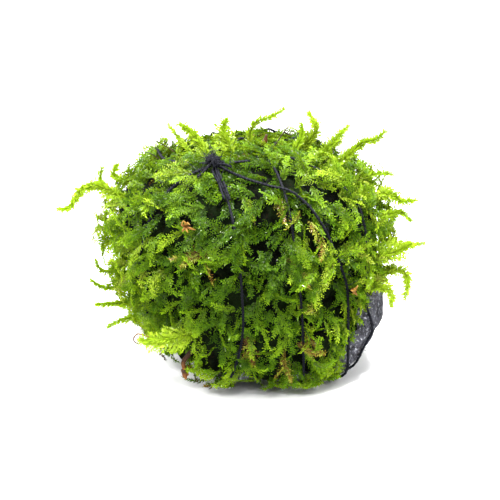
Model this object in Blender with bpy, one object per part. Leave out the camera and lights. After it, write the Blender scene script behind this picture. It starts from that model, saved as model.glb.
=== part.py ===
"""Christmas moss tied over a lump of lava stone, as solids at their real size.

The stone stands on a small flat spot that holds the origin, +Z is up and -Y is
the front. Sizes below are in millimetres and degrees. A direction is given
as (azimuth, elevation) seen from BODY_CENTRE: azimuth 0 is the front, 90 the right.
"""

import math
import random

import bmesh
import bpy
import numpy as np
from mathutils import Vector, noise

MM = 0.001

# The whole body, moss included: a squarish boulder, fuller above than below.
BODY_CENTRE = np.array([0.0, 0.0, 42.0])
BODY_HALF_WIDTH = 45.0
BODY_HALF_DEPTH = 41.0
BODY_UP = 31.5
BODY_DOWN = 47.0
SQUARENESS_UP = 2.7
SQUARENESS_DOWN = 2.2
# Broad swellings of the body: direction, spread in degrees, height.
SWELLINGS = (
    ((88.0, -48.0), 26.0, 5.2),
    ((58.0, -60.0), 18.0, 2.5),
    ((-80.0, -42.0), 30.0, -3.0),
    ((38.0, -54.0), 22.0, 4.0),
    ((-14.0, -54.0), 20.0, 4.0),
    ((-62.0, 58.0), 16.0, -2.2),
    ((-52.0, -44.0), 18.0, -3.0),
    ((-84.0, 34.0), 16.0, -3.0),
    ((84.0, 40.0), 18.0, -5.0),
    ((-90.0, 0.0), 26.0, -1.5),
    ((150.0, -35.0), 34.0, 2.5),
    ((0.0, 90.0), 30.0, -2.2),
    ((-92.0, 12.0), 12.0, 1.4),
)

# The moss cover over the stone, and the part of the stone that it leaves bare.
COVER = 8.0
BARE_COVER = 0.7
BARE_LIMIT = 4.2
BARE_PLACES = (((90.0, -40.0), 23.0), ((106.0, -24.0), 15.0), ((90.0, -62.0), 17.0))
BARE_DIP = 3.0
FOOT_FALL = -0.835
MOSS_FLOOR_GAP = 0.5
FIT_GAP = 0.45
TUFT_COUNT = 210
TUFT_REACH = 7.5
TUFT_HEIGHT = (2.2, 5.2)
TUFT_DROP = 2.9
TUFT_SEED = 4
TUFT_JITTER = 0.05
MAT_LUMP = 1.2

# The stone: lumps of two sizes and round pits on the bare part.
STONE_LUMP = 2.0
STONE_GRAIN = 0.8
# The foot: a swelling a little to the right of straight below, cut level where it stands.
FOOT_PLACE = (90.0, -86.5)
FOOT_SWELL = 8.5
FOOT_SPREAD = 13.0
FOOT_CUT = 1.6
FOOT_HALF_WIDTH = 40.0
STONE_PITS = (
    ((72.0, -28.0), 2.2), ((88.0, -33.0), 1.7), ((80.0, -46.0), 2.6), ((98.0, -40.0), 2.0),
    ((66.0, -46.0), 1.6), ((108.0, -22.0), 1.9), ((92.0, -16.0), 1.5), ((112.0, -38.0), 2.4),
)
SLIVER = 0.006
FINE_CUTS = 11
COARSE_CUTS = 6

# The thread: one length wound in three bouts, each from the knot back to the knot.
THREAD_DIAMETER = 0.9
THREAD_SINK = 2.4
THREAD_DROP = 4.0
THREAD_FLOOR = 1.0
THREAD_STEP = 1.5
LONGEST_RUN = 10.0
RUN_TOLERANCE = 0.28
THREAD_BEND = 8.0
STRAND_GAP = 1.27
CROSSING_FALL = 0.13
OWN_POINTS = 12
PRESS_REACH = 4.6
KNOT = (-23.0, 49.0)
KNOT_RING = 1.9
KNOT_RING_THICKNESS = 1.3
KNOT_TILTS = ((55.0, 25.0), (55.0, -50.0))
KNOT_CORE = 4.4
KNOT_SPAN = 7.0
KNOT_DEPTH = 3.0
BOUTS = (
    (
        (-22.0, 47.2), (-16.0, 40.0), (-9.0, 30.0), (-4.0, 12.0), (-2.0, -8.0), (-2.0, -30.0),
        (-11.0, -52.0), (-50.0, -71.0), (-120.0, -70.0), (-162.0, -44.0), (-166.0, -5.0),
        (-160.0, 30.0), (-150.0, 58.0), (120.0, 80.0), (22.0, 66.0), (19.0, 40.0),
        (20.0, 12.0), (24.0, -18.0), (28.0, -40.0), (36.0, -58.0), (80.0, -74.0),
        (148.0, -68.0), (176.0, -40.0), (178.0, 0.0), (172.0, 40.0), (140.0, 64.0),
        (70.0, 78.0), (38.0, 66.0), (43.0, 50.0), (51.0, 36.0), (56.0, 20.0), (57.0, 0.0),
        (58.0, -18.0), (63.0, -30.0), (63.0, -42.0), (72.0, -54.0), (116.0, -53.0),
        (142.0, -36.0), (152.0, -6.0), (152.0, 28.0), (162.0, 58.0), (-150.0, 76.0),
        (-90.0, 72.0), (-50.0, 67.0), (-28.0, 58.0), (-23.0, 50.9),
    ),
    (
        (-20.2, 48.7), (-4.0, 42.0), (12.0, 36.0), (25.0, 30.0), (33.0, 18.0), (40.0, 2.0),
        (45.5, -11.0), (49.0, -27.0), (53.0, -42.0), (59.0, -54.0), (75.0, -64.0),
        (118.0, -66.0), (148.0, -54.0), (150.0, -26.0), (136.0, 4.0), (130.0, 38.0),
        (122.0, 66.0), (80.0, 74.0), (34.0, 66.0), (8.0, 57.0), (-10.0, 53.0), (-20.8, 50.4),
    ),
    (
        (-25.3, 47.9), (-36.0, 38.0), (-44.0, 20.0), (-50.0, -4.0), (-58.0, -30.0),
        (-84.0, -52.0), (-128.0, -52.0), (-146.0, -22.0), (-140.0, 10.0), (-130.0, 30.0),
        (-108.0, 40.0), (-80.0, 44.0), (-56.0, 47.0), (-38.0, 49.0), (-25.2, 50.2),
    ),
)

# Shoots that stand clear of the pad: root direction, further points in millimetres
# (x, y, z), full width and thickness at the widest, and the way the blade faces.
FRONT = (0.0, -1.0, 0.3)
SHOOTS = {
    "shoot_left_arch": ((-74, 20), ((-44, -8, 58.5), (-48, -9, 58), (-50.5, -10, 55),
                                    (-52.5, -11, 52.5), (-55.5, -12, 52.5)), 2.8, 1.7, FRONT),
    "shoot_left_upright_low": ((-82, 17), ((-43.5, -3, 59), (-43, -3, 63)), 2.0, 1.4, FRONT),
    "shoot_left_upright_high": ((-84, 26), ((-40, 0, 59.5), (-39, 1, 63)), 2.4, 1.4, FRONT),
    "shoot_top_left_thin": ((-72, 56), ((-20.5, 0, 71.5), (-23.5, 2, 75)), 1.6, 1.2, FRONT),
    "shoot_top_left": ((-66, 63), ((-16, -1, 72.5), (-20, 0, 75.5)), 3.6, 1.8, FRONT),
    "tuft_top_left": ((-34, 74), ((-7, -3, 74), (-6, -2, 77.5)), 5.5, 2.2, FRONT),
    "shoot_top_arch": ((4, 72), ((1, -6, 75), (3.5, -7, 78), (7, -8, 79.5), (11, -9, 82)),
                       1.8, 1.4, FRONT),
    "plume_top_low": ((54, 58), ((16, -6, 73), (16, -5, 76.5)), 2.4, 1.4, FRONT),
    "plume_top_high": ((92, 58), ((20.5, 0, 73.5), (18.5, 2, 78.5)), 3.4, 1.6, FRONT),
    "shoot_top_right": ((80, 48), ((27, -2, 72), (30, 0, 75)), 2.6, 1.5, FRONT),
    "shoot_right_arch": ((70, 40), ((32, -6, 69.5), (34.5, -8, 72), (37.5, -10, 73), (40, -12, 76)),
                         2.6, 1.6, FRONT),
    "shoot_right_high": ((76, 30), ((39, -6, 62), (43, -7, 62)), 1.8, 1.3, FRONT),
    "shoot_right_middle": ((72, 21), ((42.5, -8, 56.5), (45.5, -10, 54.5), (49.5, -12, 55.5)),
                           3.2, 1.6, FRONT),
    "shoot_right_fork": ((76, 11), ((45.5, -10, 51), (48.5, -12, 49)), 2.4, 1.4, FRONT),
    "frond_right_broad": ((70, -5), ((45, -14, 40.5), (48.5, -16, 43.5)), 6.0, 2.0, FRONT),
    "shoot_right_tip": ((80, 0), ((48, -8, 40.5), (53, -8, 41)), 1.8, 1.3, FRONT),
    "shoot_right_drooping": ((72, -13), ((46, -14, 34.5), (47.5, -16, 31), (47, -17, 26.5)),
                             2.4, 1.5, FRONT),
    "shoot_right_inner": ((62, -15), ((42, -20, 30), (42.5, -21, 25.5)), 2.6, 1.5, FRONT),
    "stem_left_high": ((-74, -13), ((-43, -11, 33), (-45, -13, 37.5)), 1.3, 1.2, FRONT),
    "stem_left_middle": ((-70, -20), ((-42.5, -13, 28.5), (-46.5, -14, 31.5)), 1.4, 1.2, FRONT),
    "stem_left_low": ((-68, -27), ((-40, -16, 24.5), (-44.5, -18, 25)), 2.2, 1.4, FRONT),
    "stem_left_lowest": ((-66, -34), ((-38, -17, 19.5), (-41, -18, 18)), 1.8, 1.3, FRONT),
    "frond_lower_left": ((-24, -32), ((-18, -34, 21), (-24, -34, 19.5), (-31, -31, 18.5)),
                         6.5, 2.0, FRONT),
    "dead_stem": ((-30, -42), ((-18.5, -26, 10), (-17.5, -25, 5.5)), 3.2, 2.4, FRONT),
}
SHOOT_SINK = 4.3
SHOOT_PRESS = 3.2
SHOOT_DEPTH = 0.18
BLADE_TAPER = 0.45
SHOOT_RINGS = 5
SHOOT_SIDES = 6
SHOOT_STEP = 1.5

MATERIALS = {
    "lava": ((0.028, 0.030, 0.036, 1.0), 0.62),
    "moss": ((0.085, 0.210, 0.018, 1.0), 0.50),
    "shoot": ((0.180, 0.370, 0.030, 1.0), 0.45),
    "thread": ((0.012, 0.014, 0.020, 1.0), 0.70),
    "dead": ((0.180, 0.070, 0.020, 1.0), 0.65),
}


def clear_scene():
    """Remove every object that is in the scene."""
    for found in list(bpy.data.objects):
        bpy.data.objects.remove(found, do_unlink=True)


def new_collection(name):
    """A new collection, linked to the scene."""
    made = bpy.data.collections.new(name)
    bpy.context.scene.collection.children.link(made)
    return made


def new_material(name, colour, roughness):
    """A plain Principled material."""
    made = bpy.data.materials.new(name)
    made.use_nodes = True
    shader = made.node_tree.nodes["Principled BSDF"]
    shader.inputs["Base Color"].default_value = colour
    shader.inputs["Roughness"].default_value = roughness
    shader.inputs["Metallic"].default_value = 0.0
    return made


def new_object(name, mesh, collection, material=None):
    """An object of a mesh, in a collection."""
    made = bpy.data.objects.new(name, mesh)
    collection.objects.link(made)
    if material is not None:
        mesh.materials.append(material)
    return made


def direction(azimuth, elevation):
    """The unit vector of an azimuth and elevation in degrees."""
    turn, rise = math.radians(azimuth), math.radians(elevation)
    return np.array([math.sin(turn) * math.cos(rise), -math.cos(turn) * math.cos(rise),
                     math.sin(rise)])


def falloff(ways, place, spread):
    """A bell around a direction: 1 at its middle, with its spread in degrees."""
    angle = np.degrees(np.arccos(np.clip(ways @ direction(*place), -1.0, 1.0)))
    return np.exp(-(angle / spread) ** 2)


def body_reach(ways):
    """How far the body reaches from its centre along each direction."""
    up = ways[:, 2] > 0.0
    power = np.where(up, SQUARENESS_UP, SQUARENESS_DOWN)
    height = np.where(up, BODY_UP, BODY_DOWN)
    level = (ways[:, 0] / BODY_HALF_WIDTH) ** 2 + (ways[:, 1] / BODY_HALF_DEPTH) ** 2
    reach = (level ** (power / 2) + np.abs(ways[:, 2] / height) ** power) ** (-1.0 / power)
    for place, spread, swell in SWELLINGS:
        reach = reach + swell * falloff(ways, place, spread)
    return reach


def floor_reach(ways, height):
    """How far each direction goes before it meets the level plane of a height."""
    fall = np.minimum(ways[:, 2], -1e-6)
    return (height - BODY_CENTRE[2]) / fall


def bareness(ways):
    """1 where the stone is bare, 0 where the moss is deep."""
    bare = np.zeros(len(ways))
    for place, spread in BARE_PLACES:
        bare = np.maximum(bare, falloff(ways, place, spread))
    return np.clip(1.6 * bare, 0.0, 1.0)


def cover_depth(ways):
    """The depth of the moss over the stone along each direction."""
    return COVER + (BARE_COVER - COVER) * bareness(ways)


def grain(ways, scale, offset):
    """Smooth noise over directions, from -1 to 1."""
    shift = Vector((offset, offset * 0.7, -offset))
    return np.array([noise.noise(Vector(way) * scale + shift) for way in ways])


def stone_reach(ways):
    """The stone's lumpy surface, with the swelling that the foot is cut from."""
    lumps = STONE_LUMP * grain(ways, 2.2, 3.1) + STONE_GRAIN * grain(ways, 6.5, 8.4)
    reach = body_reach(ways) - cover_depth(ways) + lumps - 0.5 * STONE_LUMP
    reach = reach + FOOT_SWELL * falloff(ways, FOOT_PLACE, FOOT_SPREAD)
    return np.minimum(reach, floor_reach(ways, -FOOT_CUT))


def spread_directions(count, seed):
    """Directions spread evenly over the sphere, each moved a little."""
    chooser = random.Random(seed)
    golden = math.pi * (3.0 - math.sqrt(5.0))
    ways = []
    for index in range(count):
        height = 1.0 - 2.0 * (index + 0.5) / count
        level = math.sqrt(1.0 - height * height)
        turn = golden * index + chooser.uniform(-0.5, 0.5)
        way = np.array([level * math.cos(turn), level * math.sin(turn), height])
        ways.append(way + TUFT_JITTER * np.array([chooser.uniform(-1, 1) for _ in range(3)]))
    ways = np.array(ways)
    return ways / np.linalg.norm(ways, axis=1)[:, None]


def tuft_height(ways):
    """Pointed tufts that rise out of the moss."""
    chooser = random.Random(TUFT_SEED + 1)
    rise = np.zeros(len(ways))
    for way in spread_directions(TUFT_COUNT, TUFT_SEED):
        height = chooser.uniform(*TUFT_HEIGHT)
        apart = np.linalg.norm(ways - way, axis=1) * BODY_HALF_WIDTH
        rise = np.maximum(rise, height * np.clip(1.0 - apart / TUFT_REACH, 0.0, 1.0))
    return rise


def pressed(ways, reach, held, depth, reach_along=PRESS_REACH):
    """Lower a surface wherever something lies over it within a few millimetres."""
    lengths = np.linalg.norm(held, axis=1)
    units = held / lengths[:, None]
    limit = reach.copy()
    for unit, length in zip(units, lengths):
        apart = np.linalg.norm(ways - unit, axis=1) * length
        slack = 1.1 * np.clip(apart - reach_along, 0.0, None)
        limit = np.minimum(limit, length - depth + slack)
    return limit


def sphere_mesh(name, cuts):
    """A ball of near equal triangles, with its directions."""
    mesh = bpy.data.meshes.new(name)
    shape = bmesh.new()
    bmesh.ops.create_icosphere(shape, subdivisions=1, radius=1.0)
    bmesh.ops.subdivide_edges(shape, edges=shape.edges[:], cuts=cuts, use_grid_fill=True)
    bmesh.ops.triangulate(shape, faces=shape.faces[:])
    shape.to_mesh(mesh)
    shape.free()
    ways = np.empty(3 * len(mesh.vertices))
    mesh.vertices.foreach_get("co", ways)
    ways = ways.reshape(-1, 3)
    return mesh, ways / np.linalg.norm(ways, axis=1)[:, None]


def set_points(mesh, points):
    """Put a mesh's vertices at points in millimetres."""
    mesh.vertices.foreach_set("co", (points * MM).astype(np.float32).ravel())
    mesh.update()


def star_mesh(name, ways, mesh, reach):
    """A closed surface that each direction meets once."""
    set_points(mesh, BODY_CENTRE + ways * reach[:, None])
    mesh.name = name
    return mesh


def smooth_path(points):
    """A Catmull-Rom curve through points, 12 samples to a stretch."""
    points = np.asarray(points, dtype=float)
    ends = np.vstack([2 * points[0] - points[1], points, 2 * points[-1] - points[-2]])
    samples = []
    for index in range(1, len(ends) - 2):
        a, b, c, d = ends[index - 1:index + 3]
        for part in np.arange(12) / 12.0:
            samples.append(0.5 * (2 * b + (c - a) * part + (2 * a - 5 * b + 4 * c - d) * part ** 2
                                  + (3 * b - a - 3 * c + d) * part ** 3))
    samples.append(points[-1])
    return np.array(samples)


def evenly(points, step):
    """The same path with its points a step apart."""
    lengths = np.concatenate([[0.0], np.cumsum(np.linalg.norm(np.diff(points, axis=0), axis=1))])
    count = max(3, int(round(lengths[-1] / step)) + 1)
    places = np.linspace(0.0, lengths[-1], count)
    return np.column_stack([np.interp(places, lengths, points[:, axis]) for axis in range(3)])


def straightened(points, tolerance, longest):
    """The fewest of a path's points that keep it within a tolerance."""
    kept = [0]
    while kept[-1] < len(points) - 1:
        start = kept[-1]
        stop = start + 1
        while stop + 1 < len(points):
            run = points[stop + 1] - points[start]
            length = np.linalg.norm(run)
            inner = points[start + 1:stop + 1] - points[start]
            off = np.linalg.norm(np.cross(inner, run / length), axis=1)
            if length > longest or off.max() > tolerance:
                break
            stop += 1
        kept.append(stop)
    return points[kept]


def thread_rest(ways):
    """Where a strand lies: sunk in the moss, or on the stone where that is bare."""
    cover = cover_depth(ways)
    sink = np.clip(cover - BARE_LIMIT, 0.0, THREAD_SINK)
    drop = THREAD_DROP * np.clip((BARE_LIMIT - cover) / (BARE_LIMIT - BARE_COVER), 0.0, 1.0)
    on_stone = stone_reach(ways) + 0.5 * THREAD_DIAMETER + FIT_GAP
    reach = np.maximum(body_reach(ways) - sink - drop, on_stone)
    level = floor_reach(ways, THREAD_FLOOR)
    overlap = np.clip(THREAD_BEND - np.abs(reach - level), 0.0, None)
    return np.minimum(reach, level) - overlap ** 2 / (4.0 * THREAD_BEND)


def thread_bouts():
    """Each bout of the winding as points around the body's centre."""
    knot = knot_point()
    wound = np.empty((0, 3))
    bouts = []
    for stops in BOUTS:
        path = smooth_path([direction(*stop) for stop in stops])
        path = path / np.linalg.norm(path, axis=1)[:, None]
        ways = evenly(path * BODY_HALF_WIDTH, THREAD_STEP)
        ways = ways / np.linalg.norm(ways, axis=1)[:, None]
        reach = thread_rest(ways)
        bout = np.empty((0, 3))
        for way, rest in zip(ways, reach):
            point = way * rest
            near_knot = np.linalg.norm(point - knot) < KNOT_SPAN
            earlier = np.vstack([wound, bout[:-OWN_POINTS]])
            if len(earlier) and not near_knot:
                lengths = np.linalg.norm(earlier, axis=1)
                apart = np.linalg.norm(earlier / lengths[:, None] - way, axis=1) * rest
                clear = np.linalg.norm(earlier - knot, axis=1) > KNOT_SPAN
                over = np.where(clear, lengths + STRAND_GAP - CROSSING_FALL * apart ** 2, 0.0)
                rest = max(rest, over.max())
            bout = np.vstack([bout, way * rest])
        wound = np.vstack([wound, bout])
        bouts.append(bout)
    return bouts


def knot_point():
    """The middle of the knot, around the body's centre."""
    way = direction(*KNOT)[None, :]
    return (way * (body_reach(way) - 0.5 * THREAD_SINK))[0]


def tube_mesh(name, points, diameter):
    """A round tube along points, with welded caps."""
    curve = bpy.data.curves.new(name, "CURVE")
    curve.dimensions = "3D"
    curve.bevel_depth = 0.5 * diameter * MM
    curve.bevel_resolution = 1
    curve.use_fill_caps = True
    spline = curve.splines.new("POLY")
    spline.points.add(len(points) - 1)
    for target, point in zip(spline.points, points):
        target.co = (*(point * MM), 1.0)
    holder = bpy.data.objects.new(name, curve)
    bpy.context.scene.collection.objects.link(holder)
    graph = bpy.context.evaluated_depsgraph_get()
    mesh = bpy.data.meshes.new_from_object(holder.evaluated_get(graph))
    bpy.data.objects.remove(holder, do_unlink=True)
    bpy.data.curves.remove(curve)
    shape = bmesh.new()
    shape.from_mesh(mesh)
    bmesh.ops.remove_doubles(shape, verts=shape.verts[:], dist=0.01 * MM)
    bmesh.ops.triangulate(shape, faces=shape.faces[:])
    bmesh.ops.recalc_face_normals(shape, faces=shape.faces[:])
    shape.to_mesh(mesh)
    shape.free()
    return mesh


def combine(target, other, operation, solver="EXACT"):
    """Add a Boolean of another object, which is kept as a hidden cutter."""
    step = target.modifiers.new(operation.lower(), "BOOLEAN")
    step.operation = operation
    step.solver = solver
    step.object = other
    other.hide_render = True
    other.display_type = "WIRE"


def close_slivers(target):
    """Merge the points that a Boolean leaves closer than a hundredth of a millimetre."""
    step = target.modifiers.new("slivers", "WELD")
    step.merge_threshold = SLIVER * MM


def stone_form(ways, held):
    """The stone's surface with the valleys that the thread lies in."""
    return pressed(ways, stone_reach(ways), held, 0.5 * THREAD_DIAMETER + FIT_GAP)


def make_stone(parts, cutters, material, held):
    """The lump of lava: lumps, a flat foot, valleys for the thread, and pits."""
    mesh, ways = sphere_mesh("lava_stone", COARSE_CUTS)
    reach = stone_form(ways, held)
    stone = new_object("lava_stone", star_mesh("lava_stone", ways, mesh, reach), parts, material)
    for index, (place, radius) in enumerate(STONE_PITS):
        way = direction(*place)[None, :]
        middle = BODY_CENTRE + (way * (stone_reach(way) + 0.35 * radius))[0]
        pit_mesh, pit_ways = sphere_mesh("pit", 1)
        set_points(pit_mesh, middle + pit_ways * radius)
        pit = new_object(f"pit_{index + 1}", pit_mesh, cutters)
        combine(stone, pit, "DIFFERENCE")
    combine(stone, floor_block(cutters), "DIFFERENCE")
    close_slivers(stone)
    return reach


def floor_block(cutters):
    """A block with its top at the floor, which cuts the stone's foot level."""
    mesh = bpy.data.meshes.new("floor_block")
    shape = bmesh.new()
    bmesh.ops.create_cube(shape, size=2.0 * FOOT_HALF_WIDTH * MM)
    for corner in shape.verts:
        corner.co.z -= FOOT_HALF_WIDTH * MM
    shape.to_mesh(mesh)
    shape.free()
    return new_object("floor_block", mesh, cutters)


def make_moss(parts, cutters, material, stone_reaches, held, shoots):
    """The pad of moss: tufts outside, and the stone's form inside."""
    mesh, ways = sphere_mesh("moss_mat", FINE_CUTS)
    reach = body_reach(ways) + tuft_height(ways) - TUFT_DROP
    reach = reach + MAT_LUMP * grain(ways, 3.0, 1.7)
    reach = pressed(ways, reach, held, 0.5 * THREAD_DIAMETER + FIT_GAP)
    reach = pressed(ways, reach, knot_point()[None, :], KNOT_DEPTH, PRESS_REACH + 1.5)
    for points, width, thickness in shoots:
        lengths = np.linalg.norm(points, axis=1)
        outside = points[lengths > body_reach(points / lengths[:, None]) + FIT_GAP]
        depth = 0.5 * thickness + SHOOT_DEPTH * width + FIT_GAP
        reach = pressed(ways, reach, outside, depth, 0.5 * width + SHOOT_PRESS)
    reach = np.minimum(reach, floor_reach(ways, MOSS_FLOOR_GAP))
    bare = (cover_depth(ways) < BARE_LIMIT) | (ways[:, 2] < FOOT_FALL)
    reach = np.where(bare, stone_form(ways, held) - BARE_DIP, reach)
    moss = new_object("moss_mat", star_mesh("moss_mat", ways, mesh, reach), parts, material)
    hollow_mesh, hollow_ways = sphere_mesh("stone_hollow", COARSE_CUTS)
    hollow_mesh = star_mesh("stone_hollow", hollow_ways, hollow_mesh, stone_reaches + FIT_GAP)
    hollow = new_object("stone_hollow", hollow_mesh, cutters)
    combine(moss, hollow, "DIFFERENCE")
    return moss


def make_thread(parts, cutters, material, bouts):
    """The winding and its knot, joined where they meet."""
    knot = BODY_CENTRE + knot_point()
    core_mesh, core_ways = sphere_mesh("binding_thread", 1)
    set_points(core_mesh, knot + core_ways * 0.5 * KNOT_CORE)
    thread = new_object("binding_thread", core_mesh, parts, material)
    for index, (lean, tilt) in enumerate(KNOT_TILTS):
        bpy.ops.mesh.primitive_torus_add(
            major_segments=10, minor_segments=5, major_radius=KNOT_RING * MM,
            minor_radius=0.5 * KNOT_RING_THICKNESS * MM, location=Vector(knot * MM),
            rotation=(math.radians(lean), math.radians(tilt), 0.0))
        ring = bpy.context.object
        ring.name = f"knot_turn_{index + 1}"
        for holder in list(ring.users_collection):
            holder.objects.unlink(ring)
        cutters.objects.link(ring)
        combine(thread, ring, "UNION", "MANIFOLD")
    for index, bout in enumerate(bouts):
        points = straightened(bout, RUN_TOLERANCE, LONGEST_RUN)
        mesh = tube_mesh(f"bout_{index + 1}", BODY_CENTRE + points, THREAD_DIAMETER)
        strand = new_object(f"bout_{index + 1}", mesh, cutters)
        combine(thread, strand, "UNION", "MANIFOLD")
    close_slivers(thread)


def shoot_path(place, points):
    """A shoot's middle line around the body's centre, from its root to its tip."""
    way = direction(*place)[None, :]
    root = (way * (body_reach(way) - SHOOT_SINK))[0]
    rest = [np.array(point, dtype=float) - BODY_CENTRE for point in points]
    return evenly(smooth_path([root] + rest), SHOOT_STEP)


def blade_mesh(name, path, width, thickness, facing):
    """A blade along a path: rounded at its root, widest a third up, pointed at its tip."""
    mesh = bpy.data.meshes.new(name)
    shape = bmesh.new()
    bmesh.ops.create_uvsphere(shape, u_segments=SHOOT_SIDES, v_segments=SHOOT_RINGS, radius=1.0)
    facing = np.array(facing, dtype=float)
    facing = facing / np.linalg.norm(facing)
    for corner in shape.verts:
        part = math.acos(max(-1.0, min(1.0, -corner.co.z))) / math.pi
        place = part * (len(path) - 1)
        low = min(int(place), len(path) - 2)
        middle = path[low] + (path[low + 1] - path[low]) * (place - low)
        along = path[low + 1] - path[low]
        side = np.cross(along, facing)
        side = side / np.linalg.norm(side)
        front = np.cross(side, along)
        front = front / np.linalg.norm(front)
        ring = math.hypot(corner.co.x, corner.co.y)
        if ring > 1e-6:
            swell = math.sin(math.pi * part ** 0.75) ** 0.7 * (1.15 - BLADE_TAPER * part)
            middle = middle + side * (corner.co.x / ring * 0.5 * width * swell)
            middle = middle + front * (corner.co.y / ring * 0.5 * thickness * swell)
        corner.co = Vector((BODY_CENTRE + middle) * MM)
    bmesh.ops.triangulate(shape, faces=shape.faces[:])
    bmesh.ops.recalc_face_normals(shape, faces=shape.faces[:])
    shape.to_mesh(mesh)
    shape.free()
    return mesh


def make_shoot(name, path, look, moss, collections, material):
    """A shoot, and the socket that its root has in the moss."""
    width, thickness, facing = look
    parts, cutters = collections
    shoot = new_object(name, blade_mesh(name, path, width, thickness, facing), parts, material)
    shoot.data.shade_smooth()
    start = path[0] - path[1]
    deeper = path[0] + start * (FIT_GAP / np.linalg.norm(start))
    room = 2.0 * FIT_GAP
    socket_path = evenly(np.vstack([deeper, path]), SHOOT_STEP)
    mesh = blade_mesh(f"socket_{name}", socket_path, width + room, thickness + room, facing)
    combine(moss, new_object(mesh.name, mesh, cutters), "DIFFERENCE")


def main():
    """Build the stone, the moss, the thread and the shoots."""
    clear_scene()
    parts = new_collection("christmas_moss_on_lava_stone")
    cutters = new_collection("cutters")
    materials = {name: new_material(name, *look) for name, look in MATERIALS.items()}
    bouts = thread_bouts()
    held = np.vstack(bouts)
    paths = {name: shoot_path(*spec[:2]) for name, spec in SHOOTS.items()}
    stone_reaches = make_stone(parts, cutters, materials["lava"], held)
    resting = [(paths[name], *SHOOTS[name][2:4]) for name in SHOOTS]
    moss = make_moss(parts, cutters, materials["moss"], stone_reaches, held, resting)
    make_thread(parts, cutters, materials["thread"], bouts)
    for name, (_, _, *look) in SHOOTS.items():
        material = materials["dead" if name == "dead_stem" else "shoot"]
        make_shoot(name, paths[name], look, moss, (parts, cutters), material)
    close_slivers(moss)
    cutters.hide_render = True


main()
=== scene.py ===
"""Christmas moss tied over a lump of lava stone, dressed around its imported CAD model.

Lengths are in millimetres and MM turns them to metres. A direction is (azimuth,
elevation) in degrees seen from BODY_CENTRE: azimuth 0 is the front, 90 the right.
"""
import logging
import math
from dataclasses import dataclass, field, replace
from enum import Enum

import bmesh
import bpy
import numpy as np
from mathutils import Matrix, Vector, noise
from mathutils.bvhtree import BVHTree


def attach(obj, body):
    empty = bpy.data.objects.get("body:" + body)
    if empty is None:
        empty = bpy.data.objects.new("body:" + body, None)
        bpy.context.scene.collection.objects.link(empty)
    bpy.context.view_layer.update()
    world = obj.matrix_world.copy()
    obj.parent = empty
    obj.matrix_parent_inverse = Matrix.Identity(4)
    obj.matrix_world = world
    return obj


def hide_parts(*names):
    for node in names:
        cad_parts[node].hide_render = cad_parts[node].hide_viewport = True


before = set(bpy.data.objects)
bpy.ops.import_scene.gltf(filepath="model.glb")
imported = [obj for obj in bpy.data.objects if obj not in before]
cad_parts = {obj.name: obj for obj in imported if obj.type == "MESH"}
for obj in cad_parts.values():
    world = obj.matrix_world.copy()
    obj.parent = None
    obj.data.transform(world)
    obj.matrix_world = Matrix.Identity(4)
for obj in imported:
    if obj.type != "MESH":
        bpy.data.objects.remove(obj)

LOG = logging.getLogger("moss_stone")
ROOT_BODY = "root"
MM = 0.001
BODY_CENTRE = np.array((0.0, 0.0, 42.0))
# About how far the body reaches from its centre, for angles and arcs.
BODY_REACH = 42.0
# The way towards the camera.
SIGHT = np.array((0.0, -0.956, 0.292))
# The map that every piece carries. On leaves its second axis is the age from LEAF_MAP_LOW up
# and stems lie below that; its first axis is the tint, and leaves from DEAD_TINT up are dead.
# Low ages are darker partly as painted shade, and the tint holds painted light and shade too.
BAKE_MAP = "OFBake"
LEAF_MAP_LOW = 0.14
DEAD_TINT = 0.86

Direction = tuple[float, float]
Patch = tuple[float, float, float]
Place = tuple[float, float, float]
Colour = tuple[float, float, float]
Array = np.ndarray
Chance = np.random.Generator
Socket = bpy.types.NodeSocket
Material = bpy.types.Material
Piece = bpy.types.Object

# The thread's three bouts as the CAD source lays them, each from the knot to the knot.
KNOT: Direction = (-23, 49)
BOUTS: tuple[tuple[Direction, ...], ...] = (
    ((-22, 47.2), (-16, 40), (-9, 30), (-4, 12), (-2, -8), (-2, -30), (-11, -52), (-50, -71),
     (-120, -70), (-162, -44), (-166, -5), (-160, 30), (-150, 58), (120, 80), (22, 66), (19, 40),
     (20, 12), (24, -18), (28, -40), (36, -58), (80, -74), (148, -68), (176, -40), (178, 0), (172, 40),
     (140, 64), (70, 78), (38, 66), (43, 50), (51, 36), (56, 20), (57, 0), (58, -18), (63, -30),
     (63, -42), (72, -54), (116, -53), (142, -36), (152, -6), (152, 28), (162, 58), (-150, 76),
     (-90, 72), (-50, 67), (-28, 58), (-23, 50.9),),
    ((-20.2, 48.7), (-4, 42), (12, 36), (25, 30), (33, 18), (40, 2), (45.5, -11), (49, -27), (53, -42),
     (59, -54), (75, -64), (118, -66), (148, -54), (150, -26), (136, 4), (130, 38), (122, 66), (80, 74),
     (34, 66), (8, 57), (-10, 53), (-20.8, 50.4),),
    ((-25.3, 47.9), (-36, 38), (-44, 20), (-50, -4), (-58, -30), (-84, -52), (-128, -52), (-146, -22),
     (-140, 10), (-130, 30), (-108, 40), (-80, 44), (-56, 47), (-38, 49), (-25.2, 50.2),),
)
# Where the moss leaves the thread in sight: azimuth, elevation, reach.
THREAD_SHOWS: tuple[Patch, ...] = (
    (-23, 49, 5), (-31, 45.5, 3), (-20, 44, 3.5), (-15, 39, 3.5), (-11, 33, 3.5), (-8, 27, 3),
    (-14, 46, 3.5), (-8, 44, 3), (8, 37.5, 3), (27, 28, 3.5), (32, 21, 3), (34, 14, 3), (-2.5, -4, 3),
    (-2, -12, 3.5), (-2, -22, 3.5), (-2.5, -33, 4), (43, -5, 3), (46, -14, 4), (48, -24, 4),
    (51, -35, 4.5), (54, -45, 5), (23, -13, 3), (25, -24, 4), (60, -24, 9), (65, -44, 10), (96, -56, 12),
    (150, 0, 6), (-163, 10, 6), (177, -20, 6), (-144, -16, 6), (-96, 42, 5), (150, -44, 7), (133, 24, 5),
    (172, 40, 5),
)
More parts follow.
